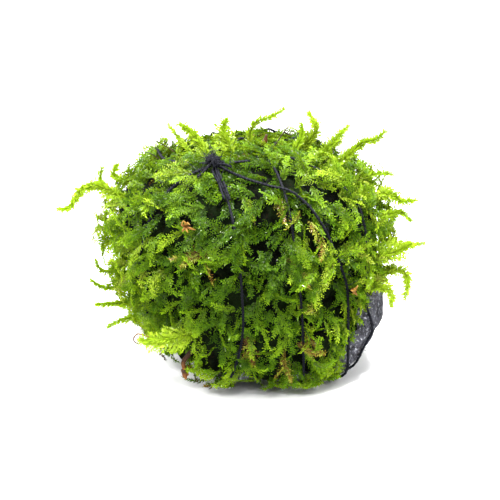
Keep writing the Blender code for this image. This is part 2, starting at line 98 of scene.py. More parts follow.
# The body's broad swellings, as in the CAD source: azimuth, elevation, spread, height.
SWELLINGS: tuple[tuple[float, float, float, float], ...] = (
    (88, -48, 26, 5.2), (58, -60, 18, 2.5), (-80, -42, 30, -3), (38, -54, 22, 4), (-14, -54, 20, 4),
    (-62, 58, 16, -2.2), (-52, -44, 18, -3), (-84, 34, 16, -3), (84, 40, 18, -5), (-90, 0, 26, -1.5),
    (150, -35, 34, 2.5), (0, 90, 30, -2.2), (-92, 12, 12, 1.4),
)
# Where the moss has another colour: azimuth, elevation, reach, tint.
TINT_PATCHES: tuple[tuple[float, float, float, float], ...] = (
    (-22, 17, 3.6, 0.97), (-12, 13, 2.6, 0.99), (-20, 31, 2.6, 0.95), (44, -4, 3.5, 0.96),
    (40, -16, 3, 0.98), (27, -18, 6, 0.87), (28, 21, 3.4, 0.88), (32, 12, 2.4, 0.9), (11, -8, 3, 0.96),
    (2, 42, 5, 0.3), (-16, 8, 4, 0.93), (22, -34, 4, 0.93), (54, -16, 8, 0.74), (35, -30, 6, 0.6),
    (120, 10, 6, 0.9), (-120, -12, 5, 0.92), (170, 22, 4, 0.97), (40, -38, 9, 0.5), (26, -50, 7, 0.44),
    (-4, -46, 6, 0.42), (-20, -42, 5, 0.6), (-10, -34, 3, 0.76),
)
# Gaps, where only low old fronds grow, whose darkened tint is painted shade: azimuth, elevation, reach.
GAPS: tuple[Patch, ...] = (
    (-34, 25, 4), (-34, 16, 4.5), (-31, 8, 3.5), (-18, 32, 4), (-16, 12, 3), (15, 22, 5), (21, 14, 4),
    (-2, 7, 4), (-2, -8, 3.5), (-2, -22, 3.5), (7, -27, 3), (22, -6, 3.5), (24, -20, 3.5), (-13, 1, 3),
    (-24, -40, 4), (36, 4, 3.5), (10, 48, 4), (24, 42, 4), (-42, -12, 3), (12, -38, 3), (120, 0, 4),
    (150, 30, 4), (-150, -10, 5), (-110, 20, 4),
)
# Dark moss under the left of the body, painted shade with some old brown moss: azimuth, elevation,
# reach.
UNDERSIDE_SHADE: tuple[Patch, ...] = (
    (-62, -52, 10), (-66, -60, 8), (-34, -62, 13),
)
# Young moss on the bare stone: azimuth, elevation, reach.
STONE_PATCHES: tuple[Patch, ...] = (
    (57, -18, 8), (60, -31, 5.5), (66, -38, 3), (96, -18, 3), (104, -44, 4),
)


class Growth(Enum):
    """How a free shoot is leafed."""

    LEAFY = "one leafy shoot"
    FROND = "a shoot with side shoots"
    WIRY = "a thin stem with small leaves"
    DEAD = "a bare dead stem"


@dataclass(frozen=True)
class FreeShoot:
    """A shoot that stands clear of the pad, on the route that the CAD source gives it.

    root is the direction of its foot, stops are the further points of its middle line,
    width is its full width at the widest, and tint and growth are its looks.
    """

    root: Direction
    stops: tuple[Place, ...]
    width: float
    growth: Growth = Growth.LEAFY
    tint: float = 0.62


FREE_SHOOTS: dict[str, FreeShoot] = {
    "shoot_left_arch": FreeShoot(
        (-74, 20), ((-44, -8, 58.5), (-48, -9, 58), (-50.5, -10, 55), (-52.5, -11, 52.5),
                    (-55.5, -12, 52.5)), 2.8, Growth.FROND, 0.66),
    "shoot_left_upright_low": FreeShoot((-82, 17), ((-43.5, -3, 59), (-43, -3, 63)), 2.0),
    "shoot_left_upright_high": FreeShoot((-84, 26), ((-40, 0, 59.5), (-39, 1, 63)), 2.4),
    "shoot_top_left_thin": FreeShoot(
        (-72, 56), ((-20.5, 0, 71.5), (-23.5, 2, 75)), 1.6, Growth.LEAFY, 0.70),
    "shoot_top_left": FreeShoot(
        (-66, 63), ((-16, -1, 72.5), (-20, 0, 75.5)), 3.6, Growth.FROND, 0.66),
    "tuft_top_left": FreeShoot(
        (-34, 74), ((-7, -3, 74), (-6, -2, 77.5)), 5.5, Growth.FROND, 0.66),
    "shoot_top_arch": FreeShoot(
        (4, 72), ((1, -6, 75), (3.5, -7, 78), (7, -8, 79.5), (11, -9, 82)), 1.8, tint=0.68),
    "plume_top_low": FreeShoot((54, 58), ((16, -6, 73), (16, -5, 76.5)), 2.4),
    "plume_top_high": FreeShoot(
        (92, 58), ((20.5, 0, 73.5), (18.5, 2, 78.5)), 3.4, Growth.FROND, 0.72),
    "shoot_top_right": FreeShoot((80, 48), ((27, -2, 72), (30, 0, 75)), 2.6, Growth.FROND),
    "shoot_right_arch": FreeShoot(
        (70, 40), ((32, -6, 69.5), (34.5, -8, 72), (37.5, -10, 73), (40, -12, 76)), 2.6,
        Growth.FROND, 0.66),
    "shoot_right_high": FreeShoot((76, 30), ((39, -6, 62), (43, -7, 62)), 1.8),
    "shoot_right_middle": FreeShoot(
        (72, 21), ((42.5, -8, 56.5), (45.5, -10, 54.5), (49.5, -12, 55.5)), 3.2,
        Growth.FROND, 0.66),
    "shoot_right_fork": FreeShoot((76, 11), ((45.5, -10, 51), (48.5, -12, 49)), 2.4),
    "frond_right_broad": FreeShoot(
        (70, -5), ((45, -14, 40.5), (48.5, -16, 43.5)), 6.0, Growth.FROND, 0.70),
    "shoot_right_tip": FreeShoot((80, 0), ((48, -8, 40.5), (53, -8, 41)), 1.8),
    "shoot_right_drooping": FreeShoot(
        (72, -13), ((46, -14, 34.5), (47.5, -16, 31), (47, -17, 26.5)), 2.4, Growth.FROND,
        0.72),
    "shoot_right_inner": FreeShoot(
        (62, -15), ((42, -20, 30), (42.5, -21, 25.5)), 2.6, Growth.FROND, 0.72),
    "stem_left_high": FreeShoot(
        (-74, -13), ((-43, -11, 33), (-45, -13, 37.5)), 1.3, Growth.WIRY, 0.55),
    "stem_left_middle": FreeShoot(
        (-70, -20), ((-42.5, -13, 28.5), (-46.5, -14, 31.5)), 1.4, Growth.WIRY, 0.50),
    "stem_left_low": FreeShoot(
        (-68, -27), ((-40, -16, 24.5), (-44.5, -18, 25)), 2.2, tint=0.60),
    "stem_left_lowest": FreeShoot(
        (-66, -34), ((-38, -17, 19.5), (-41, -18, 18)), 1.8, tint=0.60),
    "frond_lower_left": FreeShoot(
        (-24, -32), ((-18, -34, 21), (-24, -34, 19.5), (-31, -31, 18.5)), 6.5,
        Growth.FROND, 0.68),
    "dead_stem": FreeShoot(
        (-30, -42), ((-18.5, -26, 10), (-17.5, -25, 5.5)), 3.2, Growth.DEAD, 0.97),
}


def toward(azimuth: float, elevation: float) -> Array:
    """The unit vector of an azimuth and elevation in degrees."""
    turn, rise = math.radians(azimuth), math.radians(elevation)
    return np.array((math.sin(turn) * math.cos(rise), -math.cos(turn) * math.cos(rise),
                     math.sin(rise)))


def unit(vectors: Array) -> Array:
    """Vectors of length one, along the last axis."""
    return vectors / np.maximum(np.linalg.norm(vectors, axis=-1, keepdims=True), 1e-9)


def held(values: Array) -> Array:
    """Values kept between 0 and 1."""
    return np.clip(values, 0.0, 1.0)


def steps_to_one(count: int) -> Array:
    """Even steps from 0 to 1."""
    return np.linspace(0.0, 1.0, count)


def beside(vectors: Array, ways: Array) -> Array:
    """Vectors at length one without their part along some ways."""
    return unit(vectors - ways * (vectors * ways).sum(axis=1, keepdims=True))


def turned(first: Array, second: Array, angle: Array) -> Array:
    """Vectors turned from a first way towards a second, each by its angle."""
    return first * np.cos(angle)[:, None] + second * np.sin(angle)[:, None]


def mottled(ways: Array, fineness: float, shift: Place = (0.0, 0.0, 0.0)) -> Array:
    """Smooth chance values from -1 to 1 over directions."""
    return np.array([noise.noise(Vector(way) * fineness + Vector(shift)) for way in ways])


def apart_degrees(ways: Array, place: Direction) -> Array:
    """The angle in degrees between each direction and a place."""
    return np.degrees(np.arccos(np.clip(ways @ toward(*place), -1.0, 1.0)))


def within(ways: Array, patches: tuple[Patch, ...]) -> Array:
    """Which directions lie in any of some patches."""
    return np.any([apart_degrees(ways, place) < reach for *place, reach in patches], axis=0)


def smooth_route(points: Array, steps: int = 12) -> Array:
    """A Catmull-Rom curve through points.

    Args:
        points: the points that it passes, one a row.
        steps: how many samples each stretch gets.

    Returns:
        The sampled points.
    """
    points = np.asarray(points, dtype=float)
    ends = np.vstack([2 * points[0] - points[1], points, 2 * points[-1] - points[-2]])
    part = (np.arange(steps) / steps)[:, None]
    samples = []
    for a, b, c, d in zip(ends, ends[1:], ends[2:], ends[3:]):
        samples.append(0.5 * (2 * b + (c - a) * part + (2 * a - 5 * b + 4 * c - d) * part ** 2
                              + (3 * b - a - 3 * c + d) * part ** 3))
    return np.vstack(samples + [points[-1:]])


def evenly(points: Array, step: float) -> Array:
    """The same route with its points a step apart.

    Args:
        points: the route.
        step: the distance, which is rounded to fit.

    Returns:
        The new points.
    """
    lengths = np.concatenate([[0.0], np.cumsum(np.linalg.norm(np.diff(points, axis=0), axis=1))])
    places = np.linspace(0.0, lengths[-1], max(3, int(round(lengths[-1] / step)) + 1))
    return np.column_stack([np.interp(places, lengths, points[:, axis]) for axis in range(3)])


def spread_ways(count: int) -> Array:
    """Directions spread evenly over the whole sphere.

    Args:
        count: how many.

    Returns:
        The directions, one a row.
    """
    index = np.arange(count)
    height = 1.0 - 2.0 * (index + 0.5) / count
    level = np.sqrt(1.0 - height ** 2)
    turn = index * math.pi * (3.0 - math.sqrt(5.0))
    return np.column_stack([level * np.cos(turn), level * np.sin(turn), height])


# Node trees


class Term:
    """A number in a node tree, so that + - * / and ** build its Math nodes."""

    def __init__(self, socket: Socket) -> None:
        """Wrap an output socket."""
        self.socket = socket

    @staticmethod
    def math(operation: str, *values: "Term | float") -> "Term":
        """A Math node of terms and numbers.

        Args:
            operation: the Math node's operation.
            values: its inputs in order, at least one of them a Term.

        Returns:
            The node's result.
        """
        tree = next(value.socket.id_data for value in values if isinstance(value, Term))
        return NodeBench(tree).term("ShaderNodeMath", dict(enumerate(values)),
                                    operation=operation)

    def __add__(self, other: "Term | float") -> "Term":
        """Sum."""
        return Term.math("ADD", self, other)

    __radd__ = __add__

    def __sub__(self, other: "Term | float") -> "Term":
        """Difference."""
        return Term.math("SUBTRACT", self, other)

    def __rsub__(self, other: float) -> "Term":
        """Difference from a number."""
        return Term.math("SUBTRACT", other, self)

    def __mul__(self, other: "Term | float") -> "Term":
        """Product."""
        return Term.math("MULTIPLY", self, other)

    __rmul__ = __mul__

    def __truediv__(self, other: "Term | float") -> "Term":
        """Quotient."""
        return Term.math("DIVIDE", self, other)

    def __pow__(self, other: "Term | float") -> "Term":
        """Power."""
        return Term.math("POWER", self, other)

    def clamped(self) -> "Term":
        """The number held between 0 and 1."""
        return Term.math("MINIMUM", Term.math("MAXIMUM", self, 0.0), 1.0)


class NodeBench:
    """Adds nodes to one tree and joins them up."""

    def __init__(self, tree: bpy.types.NodeTree) -> None:
        """Work on a tree."""
        self.tree = tree

    def add(self, kind: str, inputs: dict | None = None, **settings: object) -> bpy.types.Node:
        """Add a node.

        Args:
            kind: the node's type.
            inputs: what its sockets get, by name or number: a value, socket or Term.
            settings: its properties, set first; stops are a ramp's places and colours.

        Returns:
            The node.
        """
        node = self.tree.nodes.new(kind)
        for name, value in settings.items():
            if name == "stops":
                self._set_stops(node.color_ramp, value)
            else:
                setattr(node, name, value)
        for name, value in (inputs or {}).items():
            socket = node.inputs[name]
            value = value.socket if isinstance(value, Term) else value
            if isinstance(value, Socket):
                self.tree.links.new(value, socket)
            else:
                socket.default_value = (*value, 1.0) if socket.type == "RGBA" else value
        return node

    def out(self, kind: str, inputs: dict | None = None, **settings: object) -> Socket:
        """Add a node and take its first output."""
        return self.add(kind, inputs, **settings).outputs[0]

    def term(self, kind: str, inputs: dict | None = None, output: int | str = 0,
             **settings: object) -> Term:
        """Add a node and take one of its numbers."""
        return Term(self.add(kind, inputs, **settings).outputs[output])

    def vector(self, operation: str, *values: object) -> Socket:
        """A Vector Math node's result; SCALE takes a vector and a number."""
        inputs = dict(zip((0, 3) if operation == "SCALE" else (0, 1), values))
        return self.out("ShaderNodeVectorMath", inputs, operation=operation)

    def point(self, *values: object) -> Socket:
        """A vector of up to three numbers."""
        return self.out("ShaderNodeCombineXYZ", dict(enumerate(values)))

    def parts(self, vector: Socket) -> list[Term]:
        """A vector's three numbers."""
        return [Term(socket) for socket in self.add("ShaderNodeSeparateXYZ", {0: vector}).outputs]

    def blend(self, part: Term | float, first: object, second: object) -> Socket:
        """A colour between two, by a factor from 0 to 1."""
        return self.add("ShaderNodeMix", {0: part, 6: first, 7: second},
                        data_type="RGBA").outputs[2]

    def ramp(self, stops: list[tuple[float, Colour]], place: Term) -> Socket:
        """A colour from a ramp's stops."""
        return self.out("ShaderNodeValToRGB", {0: place}, stops=stops)

    def spots(self, place: Socket, scale: float, detail: float = 2.0, roughness: float = 0.5) -> Term:
        """A noise pattern."""
        return self.term("ShaderNodeTexNoise", {"Vector": place, "Scale": scale,
                                                "Detail": detail, "Roughness": roughness})

    def cells(self, place: Socket, scale: float) -> Term:
        """How far each point is from the middle of its cell."""
        return self.term("ShaderNodeTexVoronoi", {"Vector": place, "Scale": scale}, "Distance",
                         feature="F1")

    def bump(self, height: Term, strength: float, distance: float) -> Socket:
        """A normal from a height, in metres at its highest."""
        return self.out("ShaderNodeBump", {"Strength": strength, "Distance": distance,
                                           "Height": height})

    def principled(self, inputs: dict) -> Socket:
        """The main shader."""
        return self.out("ShaderNodeBsdfPrincipled", inputs)

    def own_place(self) -> Socket:
        """Object coordinates."""
        return self.add("ShaderNodeTexCoord").outputs["Object"]

    def own_map(self) -> list[Term]:
        """The two coordinates of the piece's own map."""
        return self.parts(self.out("ShaderNodeUVMap", uv_map=BAKE_MAP))[:2]

    @staticmethod
    def _set_stops(ramp: bpy.types.ColorRamp, stops: list[tuple[float, Colour]]) -> None:
        """Give a colour ramp its stops.

        Args:
            ramp: the ramp.
            stops: the place and colour of each stop.
        """
        while len(ramp.elements) < len(stops):
            ramp.elements.new(1.0)
        for element, (place, colour) in zip(ramp.elements, stops):
            element.position = place
            element.color = (*colour, 1.0)


class GeometryTree(NodeBench):
    """A Geometry Nodes tree with named inputs, fed with strands."""

    def __init__(self, name: str) -> None:
        """Start a tree that takes and gives a geometry.

        Args:
            name: the tree's name.
        """
        super().__init__(bpy.data.node_groups.new(name, "GeometryNodeTree"))
        for way in ("INPUT", "OUTPUT"):
            self.tree.interface.new_socket("Geometry", in_out=way,
                                           socket_type="NodeSocketGeometry")
        self.values: dict[str, object] = {}
        self.entry = self.tree.nodes.new("NodeGroupInput")
        self.exit = self.tree.nodes.new("NodeGroupOutput")

    def size(self, name: str, value: object, kind: str = "NodeSocketFloat") -> Term:
        """Add a named input.

        Args:
            name: what the input is called.
            value: what it is set to on the object.
            kind: the socket's type.

        Returns:
            The input as a term.
        """
        made = self.tree.interface.new_socket(name, in_out="INPUT", socket_type=kind)
        self.values[made.identifier] = value
        return Term(self.entry.outputs[name])

    def field(self, name: str, data_type: str = "FLOAT") -> Socket:
        """A named attribute."""
        return self.out("GeometryNodeInputNamedAttribute", {"Name": name}, data_type=data_type)

    def store(self, geometry: Socket, name: str, value: object,
              data_type: str = "FLOAT", domain: str = "POINT") -> Socket:
        """The geometry with a named attribute stored on it."""
        return self.out("GeometryNodeStoreNamedAttribute",
                        {"Geometry": geometry, "Name": name, "Value": value},
                        data_type=data_type, domain=domain)

    def random(self, low: float, high: float, seed: int) -> Term:
        """A random number for each element."""
        return self.term("FunctionNodeRandomValue", {2: low, 3: high, 8: seed}, 1,
                         data_type="FLOAT")

    def curves(self) -> Socket:
        """The strands as curves."""
        return self.out("GeometryNodeMeshToCurve", {0: self.entry.outputs["Geometry"]})

    def beaded(self, curve: Socket, step: Term | float) -> Socket:
        """Curves with their points a step apart."""
        return self.out("GeometryNodeResampleCurve", {"Curve": curve, "Length": step},
                        mode="LENGTH")

    def ring(self, sides: Term | int, radius: Term | float) -> Socket:
        """A round profile."""
        return self.out("GeometryNodeCurvePrimitiveCircle",
                        {"Resolution": sides, "Radius": radius}, mode="RADIUS")

    def shifted(self, geometry: Socket, place: Socket) -> Socket:
        """The geometry with its points set in place."""
        return self.out("GeometryNodeSetPosition", {"Geometry": geometry, "Position": place})

    def along_spline(self, output: str) -> Socket:
        """How far along its spline each point is."""
        return self.add("GeometryNodeSplineParameter").outputs[output]

    def tube(self, curve: Socket, ring: Socket, thickness: Term | float = 1.0) -> Socket:
        """A closed tube along curves."""
        return self.out("GeometryNodeCurveToMesh", {
            "Curve": curve, "Profile Curve": ring, "Scale": thickness, "Fill Caps": True})

    def mapped(self, geometry: Socket, first: Term, second: Term) -> Socket:
        """The geometry with its own map."""
        return self.store(geometry, BAKE_MAP, self.point(first, second), "FLOAT2", "CORNER")

    def tube_mapped(self, tube: Socket, along: Term) -> Socket:
        """A tube with its own map: there and back around it, and along it."""
        around = 1.0 - Term.math("ABSOLUTE", Term(self.field("around")) * 2.0 - 1.0)
        return self.mapped(tube, around * 0.96 + 0.02, along * 0.96 + 0.02)

    def finish(self, geometry: Socket, finish: Material) -> None:
        """End the tree with plain geometry of one material."""
        plain = self.out("GeometryNodeRealizeInstances", {0: geometry})
        self.tree.links.new(self.out("GeometryNodeSetMaterial", {
            "Geometry": plain, "Material": finish}), self.exit.inputs[0])

    def applied_to(self, holder: Piece, name: str) -> Piece:
        """Run the tree on an object and keep the result as a plain mesh.

        Args:
            holder: the object that gives the tree its input; it is removed.
            name: the finished piece's name.

        Returns:
            The piece.
        """
        step = holder.modifiers.new(name, "NODES")
        step.node_group = self.tree
        for identifier, value in self.values.items():
            step[identifier] = value
        bpy.context.view_layer.update()
        graph = bpy.context.evaluated_depsgraph_get()
        mesh = bpy.data.meshes.new_from_object(holder.evaluated_get(graph))
        bpy.data.objects.remove(holder, do_unlink=True)
        for extra in [layer.name for layer in mesh.attributes
                      if not layer.is_internal and not layer.is_required
                      and layer.name != BAKE_MAP]:
            mesh.attributes.remove(mesh.attributes[extra])
        finish = mesh.materials[-1]
        mesh.materials.clear()
        mesh.materials.append(finish)
        return linked(name, mesh)


def linked(name: str, mesh: bpy.types.Mesh) -> Piece:
    """Put a mesh in the scene.

    Args:
        name: the object's name.
        mesh: its mesh.

    Returns:
        The object.
    """
    mesh.name = name
    made = bpy.data.objects.new(name, mesh)
    bpy.context.scene.collection.objects.link(made)
    return made


def placed(piece: Piece, slot: str, *nodes: str) -> Piece:
    """Let a piece ride on the body and hide the CAD nodes that it stands in for.

    Args:
        piece: the piece.
        slot: not used.
        nodes: the CAD nodes that it stands in for, if any.

    Returns:
        The piece.
    """
    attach(piece, ROOT_BODY)
    if nodes:
        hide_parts(*nodes)
    return piece


# Finishes


@dataclass(frozen=True)
class Finish:
    """A surface finish; each kind writes its own shader."""

    name: str

    def material(self) -> Material:
        """Make the finish.

        Returns:
            The material.
        """
        made = bpy.data.materials.new(self.name)
        made.use_nodes = True
        made.node_tree.nodes.clear()
        bench = NodeBench(made.node_tree)
        surface = self.surface(bench)
        bench.add("ShaderNodeOutputMaterial", {"Surface": surface})
        return made

    def surface(self, bench: NodeBench) -> Socket:
        """The shader that the finish ends in."""
        raise NotImplementedError


@dataclass(frozen=True)
class LeafFinish(Finish):
    """Wet moss leaves: the map's first axis is the tint, its second the age, dark partly as painted
    shade.
    """

    roughness: float = 0.24
    gloss: float = 0.06
    water_roughness: float = 0.06
    water_gloss: float = 1.9
    wet_share: float = 0.50
    wet_mix: float = 43.0
    glow: Colour = (0.42, 0.66, 0.01)
    glow_low: float = 0.03
    glow_high: float = 0.30

    YOUNG = [
        (0.00, (0.026, 0.075, 0.004)), (0.25, (0.105, 0.235, 0.005)),
        (0.50, (0.260, 0.450, 0.010)), (0.70, (0.460, 0.650, 0.026)),
        (0.82, (0.600, 0.720, 0.080)), (0.89, (0.290, 0.270, 0.025)),
        (0.95, (0.220, 0.115, 0.018)), (1.00, (0.085, 0.038, 0.012)),
    ]
    # Old leaves: partly their own darker colour, and made near black as painted shade of the pad's
    # depths.
    OLD = [
        (0.00, (0.002, 0.008, 0.001)), (0.50, (0.011, 0.033, 0.003)),
        (0.80, (0.075, 0.100, 0.010)), (0.90, (0.075, 0.055, 0.010)),
        (1.00, (0.030, 0.014, 0.007)),
    ]
    STEM = [(0.0, (0.030, 0.045, 0.010)), (0.7, (0.110, 0.150, 0.020)),
            (1.0, (0.070, 0.028, 0.012))]

    def surface(self, bench: NodeBench) -> Socket:
        """Glossy leaves that let some light through.

        Args:
            bench: the material's nodes.

        Returns:
            The shader.
        """
        tint, height = bench.own_map()
        age = ((height - LEAF_MAP_LOW) / (1.0 - LEAF_MAP_LOW)).clamped()
        young, old, stem = (bench.ramp(stops, tint)
                            for stops in (self.YOUNG, self.OLD, self.STEM))
        is_leaf = Term.math("GREATER_THAN", height, 0.5 * LEAF_MAP_LOW + 0.02)
        is_wet = Term.math("LESS_THAN", Term.math("FRACT", tint * self.wet_mix), self.wet_share)
        gloss = bench.principled({
            "Base Color": bench.blend(is_leaf, stem, bench.blend(age ** 1.15, old, young)),
            "Roughness": self.roughness, "Specular IOR Level": self.gloss,
            "Coat Roughness": self.water_roughness, "Coat IOR": self.water_gloss,
            "Coat Weight": age ** 2.0 * is_leaf * is_wet})
        through = bench.out("ShaderNodeBsdfTranslucent", {"Color": self.glow})
        fresh = 1.0 - Term.math("GREATER_THAN", tint, DEAD_TINT)
        share = (self.glow_low + (self.glow_high - self.glow_low) * age) * fresh * is_leaf
        return bench.out("ShaderNodeMixShader", {0: share, 1: gloss, 2: through})


@dataclass(frozen=True)
class BedShadeFinish(Finish):
    """The bed of old stems and leaves that the fronds grow from, near black as painted shade of the deep
    gaps.
    """

    # Near-black colours: painted shade between the fronds, with some real green and brown tone.
    dark: Colour = (0.001, 0.002, 0.0005)
    green: Colour = (0.004, 0.010, 0.001)
    brown: Colour = (0.010, 0.006, 0.002)
    patch_fineness: float = 190.0
    mat_fineness: float = 1500.0

    def surface(self, bench: NodeBench) -> Socket:
        """Mottled, matted and wet.

        Args:
            bench: the material's nodes.

        Returns:
            The shader.
        """
        place = bench.own_place()
        broad = bench.spots(place, self.patch_fineness)
        fine = bench.spots(place, self.mat_fineness, 4.0)
        colour = bench.blend(((broad - 0.42) * 5.0).clamped(), self.dark, self.green)
        colour = bench.blend(((fine - 0.58) * 6.0).clamped(), colour, self.brown)
        return bench.principled({"Base Color": colour, "Roughness": 0.8,
                                 "Specular IOR Level": 0.06,
                                 "Normal": bench.bump(fine, 0.9, 0.0006)})


@dataclass(frozen=True)
class LavaFinish(Finish):
    """Wet charcoal lava with fine pits and a few rusty and pale grains; painted shade in its pits and
    painted sheen on its raised parts.
    """

    dark: Colour = (0.006, 0.006, 0.009)
    grey: Colour = (0.110, 0.112, 0.140)
    rust: Colour = (0.075, 0.042, 0.020)
    algae: Colour = (0.070, 0.090, 0.020)
    grain: Colour = (0.400, 0.410, 0.460)
    lump_fineness: float = 260.0
    stain_fineness: float = 85.0
    grain_fineness: float = 1500.0
    pit_fineness: tuple[float, float] = (950.0, 2100.0)

    def surface(self, bench: NodeBench) -> Socket:
        """Pitted stone, darker in its pits and low spots as painted shade, with a wet gloss.

        Args:
            bench: the material's nodes.

        Returns:
            The shader.
        """
        place = bench.own_place()
        lumps_and_sheen = bench.spots(place, self.lump_fineness, 6.0, 0.62)
        stain = bench.spots(place, self.stain_fineness, 3.0)
        speck_and_glint = bench.spots(place, self.grain_fineness, 3.0)
        large, small = (bench.cells(place, fineness) for fineness in self.pit_fineness)
        pit_and_shade = (large * 2.4).clamped() * (small * 1.6 + 0.25).clamped()
        # Lighter grey on raised spots and darker in the pits: partly painted sheen and painted shade.
        colour = bench.blend(((lumps_and_sheen - 0.34) * 2.6).clamped() * pit_and_shade, self.dark, self.grey)
        # The pale grains are partly painted glints of the wet stone.
        for share, over in ((((stain - 0.60) * 5.0).clamped() * 0.7, self.rust),
                            (((0.42 - stain) * 6.0).clamped() * 0.75, self.algae),
                            (((speck_and_glint - 0.56) * 8.0).clamped() * 0.8, self.grain)):
            colour = bench.blend(share, colour, over)
        relief = pit_and_shade * 0.7 + lumps_and_sheen + speck_and_glint * 0.6
        return bench.principled({
            "Base Color": colour, "Roughness": 0.62 - 0.34 * lumps_and_sheen, "Coat Weight": 0.35,
            "Coat Roughness": 0.16, "Normal": bench.bump(relief, 1.0, 0.0005)})


@dataclass(frozen=True)
class ThreadFinish(Finish):
    """Black-blue sewing thread; its map runs around and along the strand."""

    dark: Colour = (0.002, 0.002, 0.004)
    light: Colour = (0.011, 0.013, 0.022)

    def surface(self, bench: NodeBench) -> Socket:
        """Fine fibres along a dark strand, with a soft sheen.

        Args:
            bench: the material's nodes.

        Returns:
            The shader.
        """
        around, along = bench.own_map()
        fibre = bench.spots(bench.point(around * 26.0, along * 9.0), 1.6, 3.0)
        colour = bench.blend(((fibre - 0.40) * 3.5).clamped(), self.dark, self.light)
        return bench.principled({"Base Color": colour, "Roughness": 0.7,
                                 "Specular IOR Level": 0.2})


@dataclass(frozen=True)
class BarkFinish(Finish):
    """The dead stem: dark brown to orange along its map."""

    STOPS = [(0.0, (0.020, 0.010, 0.006)), (0.45, (0.060, 0.024, 0.010)),
             (0.75, (0.240, 0.085, 0.018)), (1.0, (0.420, 0.190, 0.040))]

    def surface(self, bench: NodeBench) -> Socket:
        """Wrinkled and half dry.

        Args:
            bench: the material's nodes.

        Returns:
            The shader.
        """
        around, along = bench.own_map()
        wrinkle = bench.spots(bench.point(around * 9.0, along * 30.0), 1.5, 4.0)
        colour = bench.ramp(self.STOPS, (along * 0.9 + (wrinkle - 0.5) * 0.8).clamped())
        return bench.principled({"Base Color": colour, "Roughness": 0.55 - 0.2 * wrinkle,
                                 "Specular IOR Level": 0.2})


@dataclass(frozen=True)
class TwigFinish(BarkFinish):
    """Bare stems: nearly black, brown at their tips."""

    STOPS = [(0.0, (0.010, 0.008, 0.005)), (0.6, (0.030, 0.022, 0.010)),
             (1.0, (0.090, 0.045, 0.018))]


@dataclass(frozen=True)
class StrawFinish(BarkFinish):
    """Dead leaves: brown where they are old, orange and straw-coloured where they are dry."""

    STOPS = [(0.0, (0.040, 0.015, 0.006)), (0.35, (0.110, 0.040, 0.008)),
             (0.65, (0.210, 0.105, 0.014)), (1.0, (0.360, 0.220, 0.040))]


@dataclass(frozen=True)
class FloorFinish(Finish):
    """A plain pale floor."""

    colour: Colour = (0.92, 0.92, 0.92)

    def surface(self, bench: NodeBench) -> Socket:
        """Matt white."""
        return bench.principled({"Base Color": self.colour, "Roughness": 0.9,
                                 "Specular IOR Level": 0.1})


# The CAD surfaces


class Shell:
    """A CAD surface, looked up by direction from the body's centre."""

    FAR = 130.0

    def __init__(self, node: str) -> None:
        """Take a CAD node's triangles.

        Args:
            node: the node's name.
        """
        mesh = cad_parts[node].data
        self.tree = BVHTree.FromPolygons([corner.co / MM for corner in mesh.vertices],
                                         [tuple(face.vertices) for face in mesh.polygons])

    def outer(self, ways: Array) -> Array:
        """How far out each direction first meets the surface from outside; 0 on a miss."""
        return self._reaches(ways, True)

    def inner(self, ways: Array) -> Array:
        """How near each direction first meets the surface from the middle; 0 on a miss."""
        return self._reaches(ways, False)

    def _reaches(self, ways: Array, inwards: bool) -> Array:
        """Look a surface up along rays through the body's centre.

        Args:
            ways: the directions.
            inwards: whether the rays run in from outside.

        Returns:
            How far from the centre each ray meets the surface, 0 on a miss.
        """
        centre = Vector(BODY_CENTRE)
        reaches = np.zeros(len(ways))
        for index, way in enumerate(ways):
            way = Vector(way)
            ray = (centre + way * self.FAR, -way) if inwards else (centre, way)
            place, _, _, length = self.tree.ray_cast(*ray, self.FAR)
            if place is not None:
                reaches[index] = (place - centre).length if inwards else length
        return reaches


@dataclass(frozen=True)
class BodyForm:
    """The body's broad form: a squarish boulder, fuller above than below."""

    half_width: float = 45.0
    half_depth: float = 41.0
    up: float = 31.5
    down: float = 47.0
    square_up: float = 2.7
    square_down: float = 2.2

    def reach(self, ways: Array) -> Array:
        """Work out how far the body reaches from its centre.

        Args:
            ways: the directions.

        Returns:
            The distance along each direction.
        """
        above = ways[:, 2] > 0.0
        power = np.where(above, self.square_up, self.square_down)
        height = np.where(above, self.up, self.down)
        level = (ways[:, 0] / self.half_width) ** 2 + (ways[:, 1] / self.half_depth) ** 2
        tall = np.abs(ways[:, 2] / height) ** power
        reach = (level ** (power / 2) + tall) ** (-1.0 / power)
        for *place, spread, swell in SWELLINGS:
            reach = reach + swell * np.exp(-(apart_degrees(ways, place) / spread) ** 2)
        return reach


def ball(cuts: int) -> bmesh.types.BMesh:
    """Make a ball of near equal triangles.

    Args:
        cuts: how finely it is cut.

    Returns:
        The ball, of radius one.
    """
    shape = bmesh.new()
    bmesh.ops.create_icosphere(shape, subdivisions=1, radius=1.0)
    bmesh.ops.subdivide_edges(shape, edges=shape.edges[:], cuts=cuts, use_grid_fill=True)
    bmesh.ops.triangulate(shape, faces=shape.faces[:])
    return shape


def ways_of(shape: bmesh.types.BMesh) -> Array:
    """The direction of each of a shape's points."""
    return unit(np.array([corner.co for corner in shape.verts]))


def star_piece(name: str, shape: bmesh.types.BMesh, ways: Array, reach: Array,
               finish: Material) -> Piece:
    """A closed piece that each direction meets once, with its own map.

    Args:
        name: the piece's name.
        shape: a ball; it is freed.
        ways: the direction of each of its points.
        reach: how far each of them lies from the body's centre.
        finish: the piece's material.

    Returns:
        The piece.
    """
    for corner, way, length in zip(shape.verts, ways, reach):
        corner.co = Vector((BODY_CENTRE + way * length) * MM)
    bmesh.ops.recalc_face_normals(shape, faces=shape.faces[:])
    mesh = bpy.data.meshes.new(name)
    shape.to_mesh(mesh)
    shape.free()
    mesh.shade_smooth()
    corners = np.empty(len(mesh.loops), dtype=int)
    mesh.loops.foreach_get("vertex_index", corners)
    mesh.uv_layers.new(name=BAKE_MAP).data.foreach_set(
        "uv", folded_map(ways[corners].reshape(-1, 3, 3)).astype(np.float32).ravel())
    mesh.materials.append(finish)
    return linked(name, mesh)


